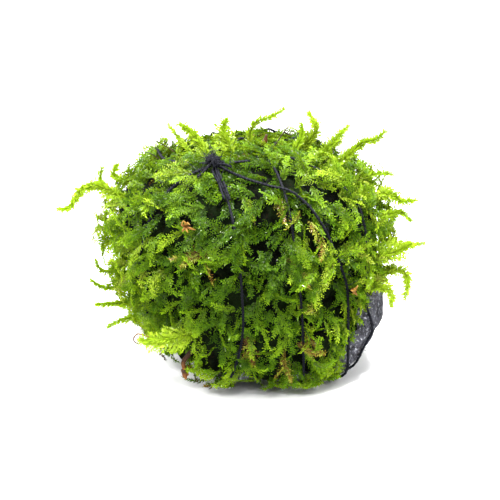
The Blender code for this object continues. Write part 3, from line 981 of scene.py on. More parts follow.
def folded_map(corners: Array) -> Array:
    """A square map of the sphere, folded like an octahedron with each face whole.

    Args:
        corners: the directions of each triangle's three corners.

    Returns:
        Two coordinates for each corner, from 0 to 1.
    """
    middle = corners.mean(axis=1, keepdims=True)
    side = np.where(middle[..., :2] >= 0.0, 1.0, -1.0)
    low = middle[..., 2:] < 0.0
    signs = np.concatenate([side, np.where(low, -1.0, 1.0)], axis=-1)
    bulk = (corners * signs).sum(axis=-1, keepdims=True)
    flat = corners[..., :2] / np.maximum(bulk, 1e-6)
    over = side * (1.0 - (side * flat)[..., ::-1])
    return 0.5 + 0.47 * np.where(low, over, flat)


# The thread


@dataclass
class Winding:
    """The dark thread: three bouts and a messy knot, following the CAD thread."""

    shell: Shell
    thickness: float = 0.9
    step: float = 0.6
    twist: float = 3.2
    plies: float = 3.0
    map_run: float = 12.0
    crossing: float = 1.25
    own_points: int = 30
    crown_from: float = 0.78
    crown_run: float = 0.12
    knot_room: float = 8.0
    knot_turns: int = 5
    knot_reach: float = 2.1
    knot_leans: tuple[float, float] = (25.0, 130.0)
    tails: tuple[tuple[float, float], ...] = ((-1.0, 0.35), (0.35, 1.0))
    doubled: int = 26
    doubled_gaps: tuple[float, float] = (0.85, -0.80)
    tail_stops: tuple[float, ...] = (2.2, 4.4, 6.8)
    fibre_floor: float = -32.0
    fibre_share: float = 0.75
    fibre_lengths: tuple[float, float] = (0.8, 2.6)
    fibre_radii: tuple[float, float] = (0.11, 0.06)
    crown_sink: float = 1.3
    bouts: list[Array] = field(default_factory=list)

    def lay(self) -> None:
        """Find each bout's middle line from its stops and the CAD thread's surface."""
        before = np.empty((0, 3))
        fewest = 0.5 * BODY_REACH
        radius = 0.5 * self.thickness
        for stops in BOUTS:
            route = unit(smooth_route(np.array([toward(*stop) for stop in stops])))
            ways = unit(evenly(route * BODY_REACH, self.step))
            low = self.shell.inner(ways) + radius
            high = self.shell.outer(ways) - radius
            crossed = np.zeros(len(ways), dtype=bool)
            for index, way in enumerate(ways):
                earlier = before if index < self.own_points else np.vstack(
                    [before, ways[:index - self.own_points]])
                if len(earlier):
                    near = np.linalg.norm(earlier - way, axis=1).min() * BODY_REACH
                    crossed[index] = near < self.crossing
            reach = np.where(crossed, high, low)
            missed = (self.shell.inner(ways) == 0.0) | (reach < fewest)
            places = np.arange(len(ways))
            reach = np.interp(places, places[~missed], reach[~missed])
            padded = np.concatenate([np.full(2, reach[0]), reach, np.full(2, reach[-1])])
            reach = np.convolve(padded, np.full(5, 0.2), mode="valid")
            crown = held((ways[:, 2] - self.crown_from) / self.crown_run)
            reach = reach - self.crown_sink * crown * (apart_degrees(ways, KNOT) > self.knot_room)
            self.bouts.append(ways * reach[:, None])
            before = np.vstack([before, ways])

    def shown(self) -> tuple[Array, Array]:
        """Sort the thread's points by whether the moss covers them.

        Returns:
            The points in sight, and those that are covered.
        """
        points = np.vstack(self.bouts)
        seen = within(unit(points), THREAD_SHOWS)
        return points[seen][::2], points[~seen][::2]

    def knot_routes(self) -> list[Array]:
        """Lay the strands of the knot.

        Returns:
            The knot's turns, its two loose tails and two short strands beside the
            first bout.
        """
        out = toward(*KNOT)
        across = unit(np.cross(out, (0.0, 0.0, 1.0)))
        up = np.cross(across, out)
        middle = unit(self.bouts[0][:6]).mean(axis=0) * np.linalg.norm(self.bouts[0][8])
        middle = out * np.linalg.norm(middle)
        chooser = np.random.default_rng(5)
        routes = []
        least, most = self.knot_leans
        for turn in range(self.knot_turns):
            lean = math.radians(least + most * turn / self.knot_turns)
            tall = math.cos(lean) * up + math.sin(lean) * across
            angles = np.linspace(0.0, 2.0 * math.pi, 16)[:-1] + turn
            reach = self.knot_reach * chooser.uniform(0.75, 1.1)
            ring = (middle + out * 0.35 * turn / self.knot_turns
                    + np.outer(np.cos(angles), tall) * reach
                    + np.outer(np.sin(angles), out) * 0.62 * reach)
            routes.append(smooth_route(np.vstack([ring, ring[:1]]), 3))
        for side, drop in self.tails:
            stops = [middle + out * 0.6]
            for length in self.tail_stops:
                swing = chooser.uniform(-0.5, 0.5, 3)
                stops.append(middle + (across * side - up * drop) * length + out * 0.9 + swing)
            routes.append(smooth_route(np.array(stops), 6))
        first = self.bouts[0][:self.doubled]
        apart = steps_to_one(len(first))[:, None]
        for gap, wave in zip(self.doubled_gaps, (0.25, 0.20)):
            swing = np.sin(9.0 * apart) * wave + gap * np.minimum(6.0 * apart, 1.0)
            routes.append(first + across * swing + out * 0.25)
        return routes

    def fuzz(self, finish: Material) -> Piece:
        """Grow loose fibres that stand off the thread where it shows.

        Args:
            finish: its material.

        Returns:
            The piece.
        """
        chooser = np.random.default_rng(9)
        starts = np.vstack([self.shown()[0]] + [route[::2] for route in self.knot_routes()])
        starts = starts[starts[:, 2] > self.fibre_floor]
        starts = starts[chooser.random(len(starts)) < self.fibre_share]
        routes, radii = [], []
        for start in starts:
            out = unit(start)
            way = unit(chooser.normal(0.0, 1.0, 3) + 0.5 * out)
            bend = chooser.normal(0.0, 0.8, 3)
            long = chooser.uniform(*self.fibre_lengths)
            stops = np.array([start, start + (way + 0.3 * out) * 0.4 * long,
                              start + (way + bend * 0.6) * 0.75 * long,
                              start + (way + bend) * long - 0.2 * out])
            route = smooth_route(stops, 3)
            routes.append(route)
            radii.append(np.linspace(*self.fibre_radii, len(route)))
        return placed(swept("thread_fibres", routes, radii, finish, 3), "thread",
                      "binding_thread")

    def build(self, finish: Material) -> Piece:
        """Sweep the strands as twisted thread.

        Args:
            finish: its material.

        Returns:
            The piece.
        """
        routes = self.bouts + self.knot_routes()
        holder = strand_holder("thread_routes", np.vstack(routes),
                               [len(route) for route in routes], {})
        tree = GeometryTree("twisted_thread")
        radius = tree.size("Strand radius", 0.5 * self.thickness * MM)
        sides = tree.size("Points around", 9, "NodeSocketInt")
        pitch = tree.size("Twist length", self.twist * MM)
        along = Term(tree.along_spline("Length"))
        curve = tree.out("GeometryNodeSetCurveTilt", {
            "Curve": tree.curves(), "Tilt": along / pitch * (2.0 * math.pi)})
        curve = tree.store(curve, "along", along)
        part = Term(tree.along_spline("Factor"))
        lobes = Term.math("COSINE", part * (self.plies * 2.0 * math.pi)) * 0.2 + 0.84
        place = tree.vector("SCALE", tree.out("GeometryNodeInputPosition"), lobes)
        ring = tree.store(tree.shifted(tree.ring(sides, radius), place), "around", part)
        wave = Term.math("PINGPONG", Term(tree.field("along")) / (self.map_run * MM), 1.0)
        tree.finish(tree.tube_mapped(tree.tube(curve, ring), wave), finish)
        return placed(tree.applied_to(holder, "wound_thread"), "thread", "binding_thread")


def thread_under(ways: Array, thread: Array) -> tuple[Array, Array]:
    """How high the nearest thread lies over each direction, and how far aside.

    Args:
        ways: the directions.
        thread: the thread's points from the body's centre.

    Returns:
        The nearest point's distance from the centre, and the chord to it.
    """
    high = np.linalg.norm(thread, axis=1)
    thread_ways = thread / high[:, None]
    over, aside = np.zeros(len(ways)), np.zeros(len(ways))
    for start in range(0, len(ways), 20000):
        part = slice(start, start + 20000)
        near = ways[part] @ thread_ways.T
        over[part] = high[near.argmax(axis=1)]
        aside[part] = np.sqrt(np.clip(2.0 - 2.0 * near.max(axis=1), 0.0, None)) * BODY_REACH
    return over, aside


def strand_holder(name: str, points: Array, lengths: list[int], fields: dict[str, Array]) -> Piece:
    """An object of open strands, for a Geometry Nodes tree to dress.

    Args:
        name: the object's name.
        points: every strand's points one after another, from the body's centre.
        lengths: how many points each strand has.
        fields: numbers or vectors for each point, by attribute name.

    Returns:
        The object.
    """
    mesh = bpy.data.meshes.new(name)
    starts = np.cumsum([0] + lengths)
    ends = np.setdiff1d(np.arange(len(points) - 1), starts[1:-1] - 1)
    mesh.vertices.add(len(points))
    mesh.vertices.foreach_set("co", ((BODY_CENTRE + points) * MM).astype(np.float32).ravel())
    mesh.edges.add(len(ends))
    mesh.edges.foreach_set("vertices", np.column_stack([ends, ends + 1]).astype(
        np.int32).ravel())
    for label, values in fields.items():
        kind, key = ("FLOAT_VECTOR", "vector") if values.ndim == 2 else ("FLOAT", "value")
        layer = mesh.attributes.new(label, kind, "POINT")
        layer.data.foreach_set(key, values.astype(np.float32).ravel())
    mesh.update()
    return linked(name, mesh)


# The moss


@dataclass
class Strands:
    """Stems of the moss, as tables that the leaf tree dresses."""

    lengths: list[int] = field(default_factory=list)
    tables: dict[str, list[Array]] = field(default_factory=dict)

    def add(self, points: Array, facing: Array, **numbers: Array | float) -> None:
        """Add stems of one point count.

        Args:
            points: stems × points × 3, from the body's centre.
            facing: the way the flat side of each point looks, in the same form.
            numbers: for each point, stems × points: its tint; its age, 0 at the old foot and
                1 at the young tip; leaf and girth, the leaves' size and the stem's thickness
                beside the usual ones, where a girth of 0 leaves the stem out.
        """
        stems, count = points.shape[:2]
        rows = {name: np.broadcast_to(value, (stems, count)).reshape(-1)
                for name, value in numbers.items()}
        rows.update(points=points.reshape(-1, 3), facing=facing.reshape(-1, 3))
        for name, row in rows.items():
            self.tables.setdefault(name, []).append(row)
        self.lengths += [count] * stems

    def holder(self, name: str) -> Piece:
        """The stems as one object of strands."""
        fields = {label: np.concatenate(table) for label, table in self.tables.items()}
        return strand_holder(name, fields.pop("points"), self.lengths, fields)


@dataclass
class Leafing:
    """Sets small folded leaves in two ranks along stems."""

    finish: Material
    spacing: float = 0.38
    length: float = 1.60
    width: float = 0.42
    fold: float = 0.45
    curl: float = 0.12
    spread: float = 40.0
    stem: float = 0.16
    stem_step: float = 2.0
    thinnest: float = 0.05
    angle_play: float = 0.20
    rolls: tuple[float, float] = (-0.35, 0.65)
    tilt_play: float = 0.5
    sizes: tuple[float, float] = (0.70, 1.05)
    large_size: float = 0.6
    tint_play: float = 0.08
    seed: int = 3

    def dress(self, strands: Strands, name: str) -> Piece:
        """Turn stems into one leafy piece.

        Args:
            strands: the stems.
            name: the piece's name.

        Returns:
            The piece as a plain mesh.
        """
        tree = GeometryTree(name)
        spacing = tree.size("Leaf spacing", self.spacing * MM)
        length = tree.size("Leaf length", self.length * MM)
        width = tree.size("Leaf width", self.width)
        fold = tree.size("Fold", self.fold)
        curl = tree.size("Curl", self.curl)
        spread = tree.size("Spread", math.radians(self.spread))
        girth = tree.size("Stem radius", self.stem * MM)
        curves = tree.curves()
        leaves = self._leaves(tree, curves, spacing, length, spread,
                              self._leaf(tree, width, fold, curl))
        joined = tree.add("GeometryNodeJoinGeometry")
        for part in (self._stems(tree, curves, girth), leaves):
            tree.tree.links.new(part, joined.inputs[0])
        across, along, is_leaf = tree.parts(tree.field("leaf_place", "FLOAT_VECTOR"))
        tint, age = Term(tree.field("tint")), Term(tree.field("age"))
        low = LEAF_MAP_LOW
        # Each leaf darkens towards its base and lightens towards its tip: painted shade and light on top
        # of the frond's age.
        leaf_age_and_shade = low + 0.02 + (0.96 - low) * (age * 0.62 + along * 0.36)
        stem_height = 0.01 + 0.04 * age
        height = leaf_age_and_shade * is_leaf + stem_height * (1.0 - is_leaf)
        first = tint * 0.94 + 0.03 + across * 0.025
        tree.finish(tree.mapped(joined.outputs[0], first.clamped(), height.clamped()),
                    self.finish)
        return tree.applied_to(strands.holder(f"{name}_stems"), name)

    @staticmethod
    def _leaf(tree: GeometryTree, width: Term, fold: Term, curl: Term) -> Socket:
        """Shape a leaf of unit length: pointed at both ends, folded along its middle.

        Args:
            tree: the tree.
            width: its width beside its length.
            fold: how far its sides rise.
            curl: how far its tip drops.

        Returns:
            The leaf.
        """
        grid = tree.out("GeometryNodeMeshGrid", {
            "Size X": 1.0, "Size Y": 1.0, "Vertices X": 3, "Vertices Y": 3})
        corner = tree.parts(tree.out("GeometryNodeInputPosition"))
        across, along = corner[0] * 2.0, corner[1] + 0.5
        side = across * (4.0 * along * (1.0 - along))
        rise = Term.math("ABSOLUTE", side) * fold * width
        place = tree.point(side * width * 0.5, along ** 1.35, rise - curl * along ** 2.0)
        leaf = tree.store(grid, "leaf_place", tree.point(side, along, 1.0), "FLOAT_VECTOR")
        return tree.out("GeometryNodeMergeByDistance", {
            "Geometry": tree.shifted(leaf, place), "Distance": 0.002})

    def _leaves(self, tree: GeometryTree, curves: Socket, spacing: Term,
                length: Term, spread: Term, leaf: Socket) -> Socket:
        """Set leaves on alternate sides of each stem, turned a little at random.

        Args:
            tree: the tree.
            curves: the stems.
            spacing: the distance between leaves.
            length: a usual leaf's length.
            spread: the angle between leaf and stem.
            leaf: the leaf.

        Returns:
            The leaves.
        """
        along = tree.out("GeometryNodeInputTangent")
        facing = tree.field("facing", "FLOAT_VECTOR")
        side = tree.vector("NORMALIZE", tree.vector("CROSS_PRODUCT", along, facing))
        which = Term.math("MODULO", tree.term("GeometryNodeInputIndex"), 2.0) * 2.0 - 1.0
        angle = spread + tree.random(-self.angle_play, self.angle_play, self.seed)
        roll = tree.random(*self.rolls, self.seed + 1)
        out = Term.math("SINE", angle)
        way = tree.vector("SCALE", along, Term.math("COSINE", angle))
        for arm, share in ((side, out * which * Term.math("COSINE", roll)),
                           (facing, out * Term.math("SINE", roll))):
            way = tree.vector("ADD", way, tree.vector("SCALE", arm, share))
        tilt = tree.vector("SCALE", side,
                           tree.random(-self.tilt_play, self.tilt_play, self.seed + 2))
        turn = tree.out("FunctionNodeAxesToRotation",
                        {0: way, 1: tree.vector("ADD", facing, tilt)},
                        primary_axis="Y", secondary_axis="Z")
        large = tree.random(0.0, 1.0, self.seed + 5) ** 5.0
        grown = (Term(tree.field("leaf")) * length * tree.random(*self.sizes, self.seed + 3)
                 * (1.0 + self.large_size * large))
        made = tree.out("GeometryNodeInstanceOnPoints", {
            "Points": tree.beaded(curves, spacing), "Instance": leaf, "Rotation": turn,
            "Scale": grown})
        play = tree.random(-self.tint_play, self.tint_play, self.seed + 4)
        tinted = Term(tree.field("tint")) + play
        return tree.out("GeometryNodeRealizeInstances",
                        {0: tree.store(made, "tint", tinted, domain="INSTANCE")})

    def _stems(self, tree: GeometryTree, curves: Socket, girth: Term) -> Socket:
        """Make three-sided stems where a strand has some girth.

        Args:
            tree: the tree.
            curves: the strands.
            girth: a usual stem's radius.

        Returns:
            The stems.
        """
        thick = Term(tree.field("girth"))
        bare = Term.math("LESS_THAN", thick, self.thinnest)
        kept = tree.out("GeometryNodeDeleteGeometry", {"Geometry": curves, "Selection": bare},
                        domain="CURVE")
        part = tree.along_spline("Factor")
        ring = tree.store(tree.ring(3, girth), "leaf_place", tree.point(part, part, 0.0),
                          "FLOAT_VECTOR")
        return tree.tube(tree.beaded(kept, self.stem_step * MM), ring, thick)


class PadPart(Enum):
    """The pieces that the pad is made in, with their azimuths and elevations."""

    FRONT_LEFT = (-62, 0, -90, 44)
    FRONT_RIGHT = (0, 62, -90, 44)
    RIGHT = (62, 118, -90, 44)
    BACK_RIGHT = (118, 180, -90, 44)
    BACK_LEFT = (-180, -118, -90, 44)
    LEFT = (-118, -62, -90, 44)
    TOP_FRONT = (-90, 90, 44, 90)
    TOP_BACK = (90, 270, 44, 90)

    def holds(self, ways: Array) -> Array:
        """Find what falls in this part.

        Args:
            ways: the directions.

        Returns:
            A mask of the directions.
        """
        low, high, bottom, top = self.value
        rise = np.degrees(np.arcsin(np.clip(ways[:, 2], -1.0, 1.0)))
        turn = np.degrees(np.arctan2(ways[:, 0], -ways[:, 1]))
        turn = np.where(turn < low, turn + 360.0, turn)
        return (turn >= low) & (turn < high) & (rise >= bottom) & (rise < top)


@dataclass
class Fronds:
    """A table of fronds before they are grown, one entry each."""

    ways: Array
    comb: Array
    rise: Array
    length: Array
    half_width: Array
    roll: Array
    tint: Array
    cap: Array
    sink: Array

    def joined(self, other: "Fronds") -> "Fronds":
        """These fronds and some others."""
        return Fronds(*(np.concatenate([getattr(self, name), getattr(other, name)])
                        for name in self.__dataclass_fields__))

    def chosen(self, mask: Array) -> "Fronds":
        """The fronds of a mask."""
        return Fronds(*(getattr(self, name)[mask] for name in self.__dataclass_fields__))


@dataclass
class MossPad:
    """The pad of moss: fronds that grow from the CAD moss and lie over each other."""

    moss: Shell
    body: BodyForm
    stone: Shell
    thread: Array
    hidden_thread: Array
    leafing: Leafing
    count: int = 2600
    seed: int = 11
    main_points: int = 11
    side_points: int = 5
    side_spacing: float = 0.70
    foot_fall: float = -0.90
    scatter: float = 0.022
    knot_room: float = 3.2
    swing: float = 62.0
    lengths: tuple[float, float] = (6.0, 12.0)
    low_length: float = 0.65
    rises: tuple[float, float] = (22.0, 68.0)
    half_widths: tuple[float, float] = (0.24, 0.36)
    rolls: float = 0.60
    sinks: tuple[float, float] = (3.2, 5.0)
    side_from: float = 0.10
    side_run: float = 0.84
    side_angles: tuple[float, float] = (58.0, 16.0)
    bare_margin: float = 0.6
    cover_reach: float = 2.6
    cover_clear: float = 3.0
    stone_margin: float = 1.2
    low_share: float = 0.4
    thin_clumps: float = 0.18
    under_brown: float = 0.35
    under_shade_tints: tuple[float, float] = (0.98, 0.05)
    proud: tuple[float, float] = (3.6, 2.4)
    low_cap: float = -3.4
    low_sink: float = 5.2
    old_share: float = 0.026
    droop: float = 0.035
    combing: float = 0.05
    press_reach: float = 1.1
    floor_gap: float = 0.9
    under_rise: float = 2.8
    comb_centre: Place = (4.0, -10.0, 8.0)

    def fronds(self) -> Fronds:
        """Choose where each frond stands, which way it leans and its looks.

        Returns:
            The fronds.
        """
        chooser = np.random.default_rng(self.seed)
        ways, clump, low, covers = self._stands(chooser)
        many = len(ways)
        comb = beside(ways * BODY_REACH - np.array(self.comb_centre), ways)
        comb = comb + 0.25 * unit(np.cross(ways, (0.0, 1.0, 0.0)))
        comb[:, 2] -= 0.25 * held(-ways[:, 2])
        swing = chooser.normal(0.0, math.radians(self.swing), many)
        comb = beside(comb, ways)
        comb = turned(comb, np.cross(ways, comb), swing)
        length = chooser.uniform(*self.lengths, many)
        length = np.where(low, self.low_length * length, length)
        tint = self._tints_with_painted_light(ways, chooser)
        edge = 1.0 - np.abs(ways @ SIGHT)
        rise = chooser.uniform(*self.rises, many) + 24.0 * edge * chooser.random(many)
        top = np.clip(ways[:, 2] - 0.4, 0.0, 0.4) / 0.4
        rise = rise * (1.0 - 0.5 * top)
        cap = (chooser.uniform(-1.4, 0.8, many) + 3.2 * clump - 3.2 * top
               - 1.6 * np.clip(-ways[:, 2] - 0.45, 0.0, 0.4) / 0.4)
        cap -= 3.4 * top * np.clip(ways[:, 1] + 0.35, 0.0, 0.4) / 0.4
        cap = np.minimum(cap, self.stand_off(ways) - 0.8)
        cap = np.where(covers, np.maximum(cap, 0.4 - 2.9 * top), cap)
        # Fronds that stand prouder get a lighter tint: painted light.
        tint = np.where(tint < DEAD_TINT, np.clip(tint + 0.05 * (cap + 0.8), 0.02, 0.80), tint)
        # Under the left of the body: dark brown and dark green fronds, painted shade with some old brown
        # moss.
        under = within(ways, UNDERSIDE_SHADE)
        low &= ~under
        cap = np.where(under, chooser.uniform(0.0, 2.2, many) + 2.4 * (ways[:, 2] < -0.82), cap)
        brown = chooser.random(many) < self.under_brown
        tint = np.where(under, np.where(brown, *self.under_shade_tints), tint)
        return Fronds(
            ways=ways, comb=comb, rise=np.radians(rise),
            length=length, half_width=length * chooser.uniform(*self.half_widths, many),
            roll=chooser.normal(0.0, self.rolls, many),
            # Low old fronds keep under half their tint: painted shade of the leaves under the others.
            tint=np.where(low, np.minimum(tint, 0.45 * tint + 0.03), tint),
            cap=np.where(low, self.low_cap, cap),
            sink=np.where(low, self.low_sink, chooser.uniform(*self.sinks, many)))

    def _stands(self, chooser: Chance) -> tuple[Array, ...]:
        """Where fronds stand.

        Args:
            chooser: the source of chance.

        Returns:
            Their directions, how much each is part of a clump, which are low old ones and
            which cover the thread.
        """
        ways = spread_ways(int(self.count * 1.25))
        ways = unit(ways + chooser.normal(0.0, self.scatter, ways.shape))
        bare = ((self.moss.outer(ways) < self.stone.outer(ways) + self.bare_margin)
                | (ways[:, 2] < self.foot_fall))
        ways = ways[~bare & (apart_degrees(ways, KNOT) > self.knot_room)]
        clump = mottled(ways, 7.5, (3.1, 0.4, 1.7))
        low = np.arange(len(ways)) % 5 < 5 * self.low_share
        middle = held(1.0 - 1.6 * np.abs(ways[:, 0]))
        kept = (clump > 0.12 * middle - 0.14) | (chooser.random(len(ways)) < self.thin_clumps)
        covers = thread_under(ways, self.hidden_thread)[1] < self.cover_reach
        covers &= thread_under(ways, self.thread)[1] > self.cover_clear
        kept = low | (kept & ~within(ways, GAPS)) | covers
        return ways[kept], clump[kept], (low & ~covers)[kept], covers[kept]

    def _tints_with_painted_light(self, ways: Array, chooser: Chance) -> Array:
        """Colour the moss with painted light at its sides, top and underside and painted shade
        mid-front.

        Args:
            ways: the directions.
            chooser: the source of chance.

        Returns:
            The tint in each direction.
        """
        side, up = np.abs(ways[:, 0]), ways[:, 2]
        # Painted light: lighter at the sides and top; painted shade: a darker belt across the front
        # middle; painted fill light: lighter underneath. The mottling, chance and patches are real tone.
        tint = 0.08 + 0.36 * side + 0.24 * held(up)
        painted_shade_belt = held(1.0 - 2.4 * np.abs(up - 0.16))
        tint = tint - 0.13 * painted_shade_belt * held(1.0 - 1.4 * side)
        tint = tint + 0.10 * held(-up - 0.25)
        tint = tint + 0.26 * mottled(ways, 4.2) + chooser.normal(0.0, 0.16, len(ways))
        tint = np.clip(tint, 0.06, 0.80)
        old = chooser.random(len(ways)) < self.old_share * (1.0 - side)
        tint = np.where(old, 0.90 + 0.08 * chooser.random(len(ways)), tint)
        for *place, reach, shade in TINT_PATCHES:
            inside = apart_degrees(ways, place) < reach * chooser.uniform(0.6, 1.2, len(ways))
            spread = 0.012 if shade > 0.8 else 0.06
            tint = np.where(inside, shade + chooser.normal(0.0, spread, len(ways)), tint)
        return tint

    def main_stems(self, fronds: Fronds) -> tuple[Array, Array]:
        """Grow each frond's main stem step by step over the body.

        Args:
            fronds: the fronds.

        Returns:
            The stems' points from the body's centre, and the way each point faces.
        """
        ways = fronds.ways
        places = ways * (self.body.reach(ways) - fronds.sink)[:, None]
        heading = unit(turned(fronds.comb, ways, fronds.rise))
        facing = beside(ways, heading)
        facing = turned(facing, np.cross(heading, facing), fronds.roll)
        step = (fronds.length / (self.main_points - 1))[:, None]
        points, looks = [places], [facing]
        for _ in range(self.main_points - 1):
            places = places + heading * step
            here = unit(places)
            over = np.linalg.norm(places, axis=1) - self.body.reach(here) - fronds.cap
            rising = (heading * here).sum(axis=1)
            lower = held(0.5 * (over + 1.2)) * np.clip(rising + 0.15, 0.0, None)
            heading = heading - here * lower[:, None]
            heading = heading + np.array((0.0, 0.0, -self.droop)) * step
            heading = unit(heading + fronds.comb * self.combing * step)
            facing = beside(facing, heading)
            points.append(places)
            looks.append(facing)
        return np.stack(points, axis=1), np.stack(looks, axis=1)

    def side_stems(self, main: Array, looks: Array, half_width: Array,
                   chooser: Chance) -> tuple[Array, ...]:
        """Side shoots on alternate sides of each main stem, shorter towards its tip.

        Args:
            main: the main stems' points.
            looks: the way each of them faces.
            half_width: how long the longest side shoot of each frond is.
            chooser: the source of chance.

        Returns:
            Their points, the way they face, their frond and their place along it.
        """
        lengths = np.linalg.norm(np.diff(main, axis=1), axis=2).sum(axis=1)
        counts = np.maximum(3, (self.side_run * lengths / self.side_spacing).astype(int))
        owner = np.repeat(np.arange(len(main)), counts)
        order = np.concatenate([np.arange(count) for count in counts])
        stand = order + chooser.uniform(0.2, 0.8, len(order))
        part = self.side_from + self.side_run * stand / counts[owner]
        place = part * (main.shape[1] - 1)
        low = np.minimum(place.astype(int), main.shape[1] - 2)
        start, end = main[owner, low], main[owner, low + 1]
        base = start + (end - start) * (place - low)[:, None]
        ahead = unit(end - start)
        facing = looks[owner, low]
        side = np.cross(ahead, facing) * np.where(order % 2, 1.0, -1.0)[:, None]
        taper = (0.5 + 0.5 * held(part / 0.28)) * (1.0 - 0.86 * part ** 1.7)
        long = half_width[owner] * taper * chooser.uniform(0.7, 1.25, len(part))
        long = np.maximum(long, 0.5)
        wide, narrower = self.side_angles
        angle = np.radians(wide - narrower * part + chooser.normal(0.0, 7.0, len(part)))
        lift = chooser.normal(0.0, 0.22, len(part))
        steps = self.side_points - 1
        points, spot = [base], base
        for index in range(steps):
            bend = angle * (1.0 - 0.45 * index / steps)
            way = unit(turned(ahead, side, bend) + facing * (lift - 0.10 * index)[:, None])
            spot = spot + way * (long / steps)[:, None]
            points.append(spot)
        return (np.stack(points, axis=1), np.repeat(facing[:, None], self.side_points, axis=1),
                owner, part)

    def stand_off(self, ways: Array) -> Array:
        """How far fronds may stand proud of the body: least at the front and the back."""
        most, less = self.proud
        return most - less * held((np.abs(ways[:, 1]) - 0.70) / 0.2)

    def pressed(self, points: Array) -> Array:
        """Keep points under the thread where it shows, and above the floor.

        Args:
            points: the points, from the body's centre.

        Returns:
            The points where they may be.
        """
        flat = points.reshape(-1, 3)
        lengths = np.linalg.norm(flat, axis=1)
        ways = flat / lengths[:, None]
        over, aside = thread_under(ways, self.thread)
        limit = over - 0.9 + 2.2 * np.clip(aside - self.press_reach, 0.0, None)
        limit = np.minimum(limit, self.body.reach(ways) + self.stand_off(ways))
        flat = ways * np.minimum(lengths, limit)[:, None]
        aside = np.linalg.norm(flat[:, :2], axis=1)
        clear = self.floor_gap + self.under_rise * held((aside - 10.0) / 22.0)
        flat[:, 2] = np.maximum(flat[:, 2], clear - BODY_CENTRE[2])
        return flat.reshape(points.shape)

    def off_the_stone(self, fronds: Fronds) -> Fronds:
        """Keep fronds from growing out over the bare stone.

        Args:
            fronds: the fronds.

        Returns:
            Those that stay off it, some of them shortened.
        """
        for _ in range(2):
            main, _ = self.main_stems(fronds)
            tips = unit(main[:, -1])
            over = self.moss.outer(tips) < self.stone.outer(tips) + self.stone_margin
            fronds = replace(fronds, length=np.where(over, 0.55 * fronds.length, fronds.length),
                             half_width=np.where(over, 0.75 * fronds.half_width,
                                                 fronds.half_width))
        tips = unit(self.main_stems(fronds)[0][:, -1])
        return fronds.chosen(self.moss.outer(tips) > self.stone.outer(tips) + self.stone_margin)

    def strands(self, fronds: Fronds, seed: int) -> Strands:
        """Grow a table of fronds into stems.

        Args:
            fronds: the fronds.
            seed: the seed of their small differences.

        Returns:
            Their main stems and side shoots.
        """
        chooser = np.random.default_rng(seed)
        main, looks = self.main_stems(fronds)
        side, side_looks, owner, part = self.side_stems(main, looks, fronds.half_width, chooser)
        made = Strands()
        along = steps_to_one(self.main_points)
        tint, part = fronds.tint[:, None], part[:, None]
        made.add(self.pressed(main), looks, tint=tint, age=0.96 * along ** 1.6,
                 leaf=1.0 - 0.35 * along ** 2, girth=1.0 - 0.6 * along)
        along = steps_to_one(self.side_points)
        age = 0.56 * part ** 1.5 + (0.40 + 0.16 * part) * along ** 1.3
        made.add(self.pressed(side), side_looks,
                 tint=tint[owner] + chooser.normal(0.0, 0.03, len(owner))[:, None],
                 age=np.clip(age, 0.0, 0.98), leaf=0.62 - 0.20 * along, girth=0.0)
        return made

    def on_the_stone(self) -> Fronds:
        """Grow short young fronds that have taken hold on the bare stone.

        Returns:
            The fronds.
        """
        chooser = np.random.default_rng(self.seed + 50)
        ways = spread_ways(4200)
        near = np.zeros(len(ways), dtype=bool)
        for *place, reach in STONE_PATCHES:
            near |= apart_degrees(ways, place) < reach * chooser.uniform(0.6, 1.1, len(ways))
        ways = ways[near]
        many = len(ways)
        sideways = chooser.normal(0.0, 1.0, ways.shape) + np.array((0.0, 0.0, -0.8))
        rest = self.body.reach(ways) - self.stone.outer(ways)
        length = chooser.uniform(2.2, 4.6, many)
        return Fronds(
            ways=ways, comb=beside(sideways, ways),
            rise=np.radians(chooser.uniform(15.0, 55.0, many)), length=length,
            half_width=0.30 * length, roll=chooser.normal(0.0, 0.4, many),
            tint=np.clip(chooser.normal(0.68, 0.10, many), 0.4, 0.82),
            cap=1.6 - rest, sink=rest + 0.3)

    def build(self) -> list[Piece]:
        """Make the pad.

        Returns:
            The pieces.
        """
        fronds = self.off_the_stone(self.fronds()).joined(self.on_the_stone())
        pieces = []
        for index, part in enumerate(PadPart):
            mine = self.strands(fronds.chosen(part.holds(fronds.ways)), self.seed + index)
            piece = self.leafing.dress(mine, f"moss_{part.name.lower()}")
            pieces.append(placed(piece, "moss", "moss_mat"))
        return pieces


@dataclass
class MossBed:
    """The skin under the fronds, dark as painted shade."""

    moss: Shell
    body: BodyForm
    stone: Shell
    cuts: int = 34
    depth: float = 6.0
    low_rise: float = 4.6
    lump: float = 0.9
    cover: float = 0.8
    bare_drop: float = 1.2

    def build(self, finish: Material) -> Piece:
        """Shape the skin below the CAD moss and under the bare stone.

        Args:
            finish: its material.

        Returns:
            The piece.
        """
        shape = ball(self.cuts)
        ways = ways_of(shape)
        moss, stone = self.moss.outer(ways), self.stone.outer(ways)
        bumps = mottled(ways, 21.0) + 0.8 * mottled(ways, 47.0)
        deep = self.depth - self.low_rise * held((-ways[:, 2] - 0.35) / 0.30)
        even = np.minimum(moss - self.cover, self.body.reach(ways) - deep + self.lump * bumps)
        reach = np.maximum(even, np.minimum(stone + 0.4, moss - self.cover))
        # Under the left of the body the dark bed swells out towards the moss: painted shade.
        for *place, spread in UNDERSIDE_SHADE:
            near = held(1.6 - apart_degrees(ways, place) / spread)
            reach = reach + near * np.clip(moss - 0.5 + self.lump * bumps - reach, 0.0, None)
        reach = np.where(moss < stone + 0.3, stone - self.bare_drop, reach)
        reach = np.where(ways[:, 2] < -0.86, np.minimum(reach, stone - self.bare_drop), reach)
        return placed(star_piece("moss_bed", shape, ways, reach, finish), "moss", "moss_mat")


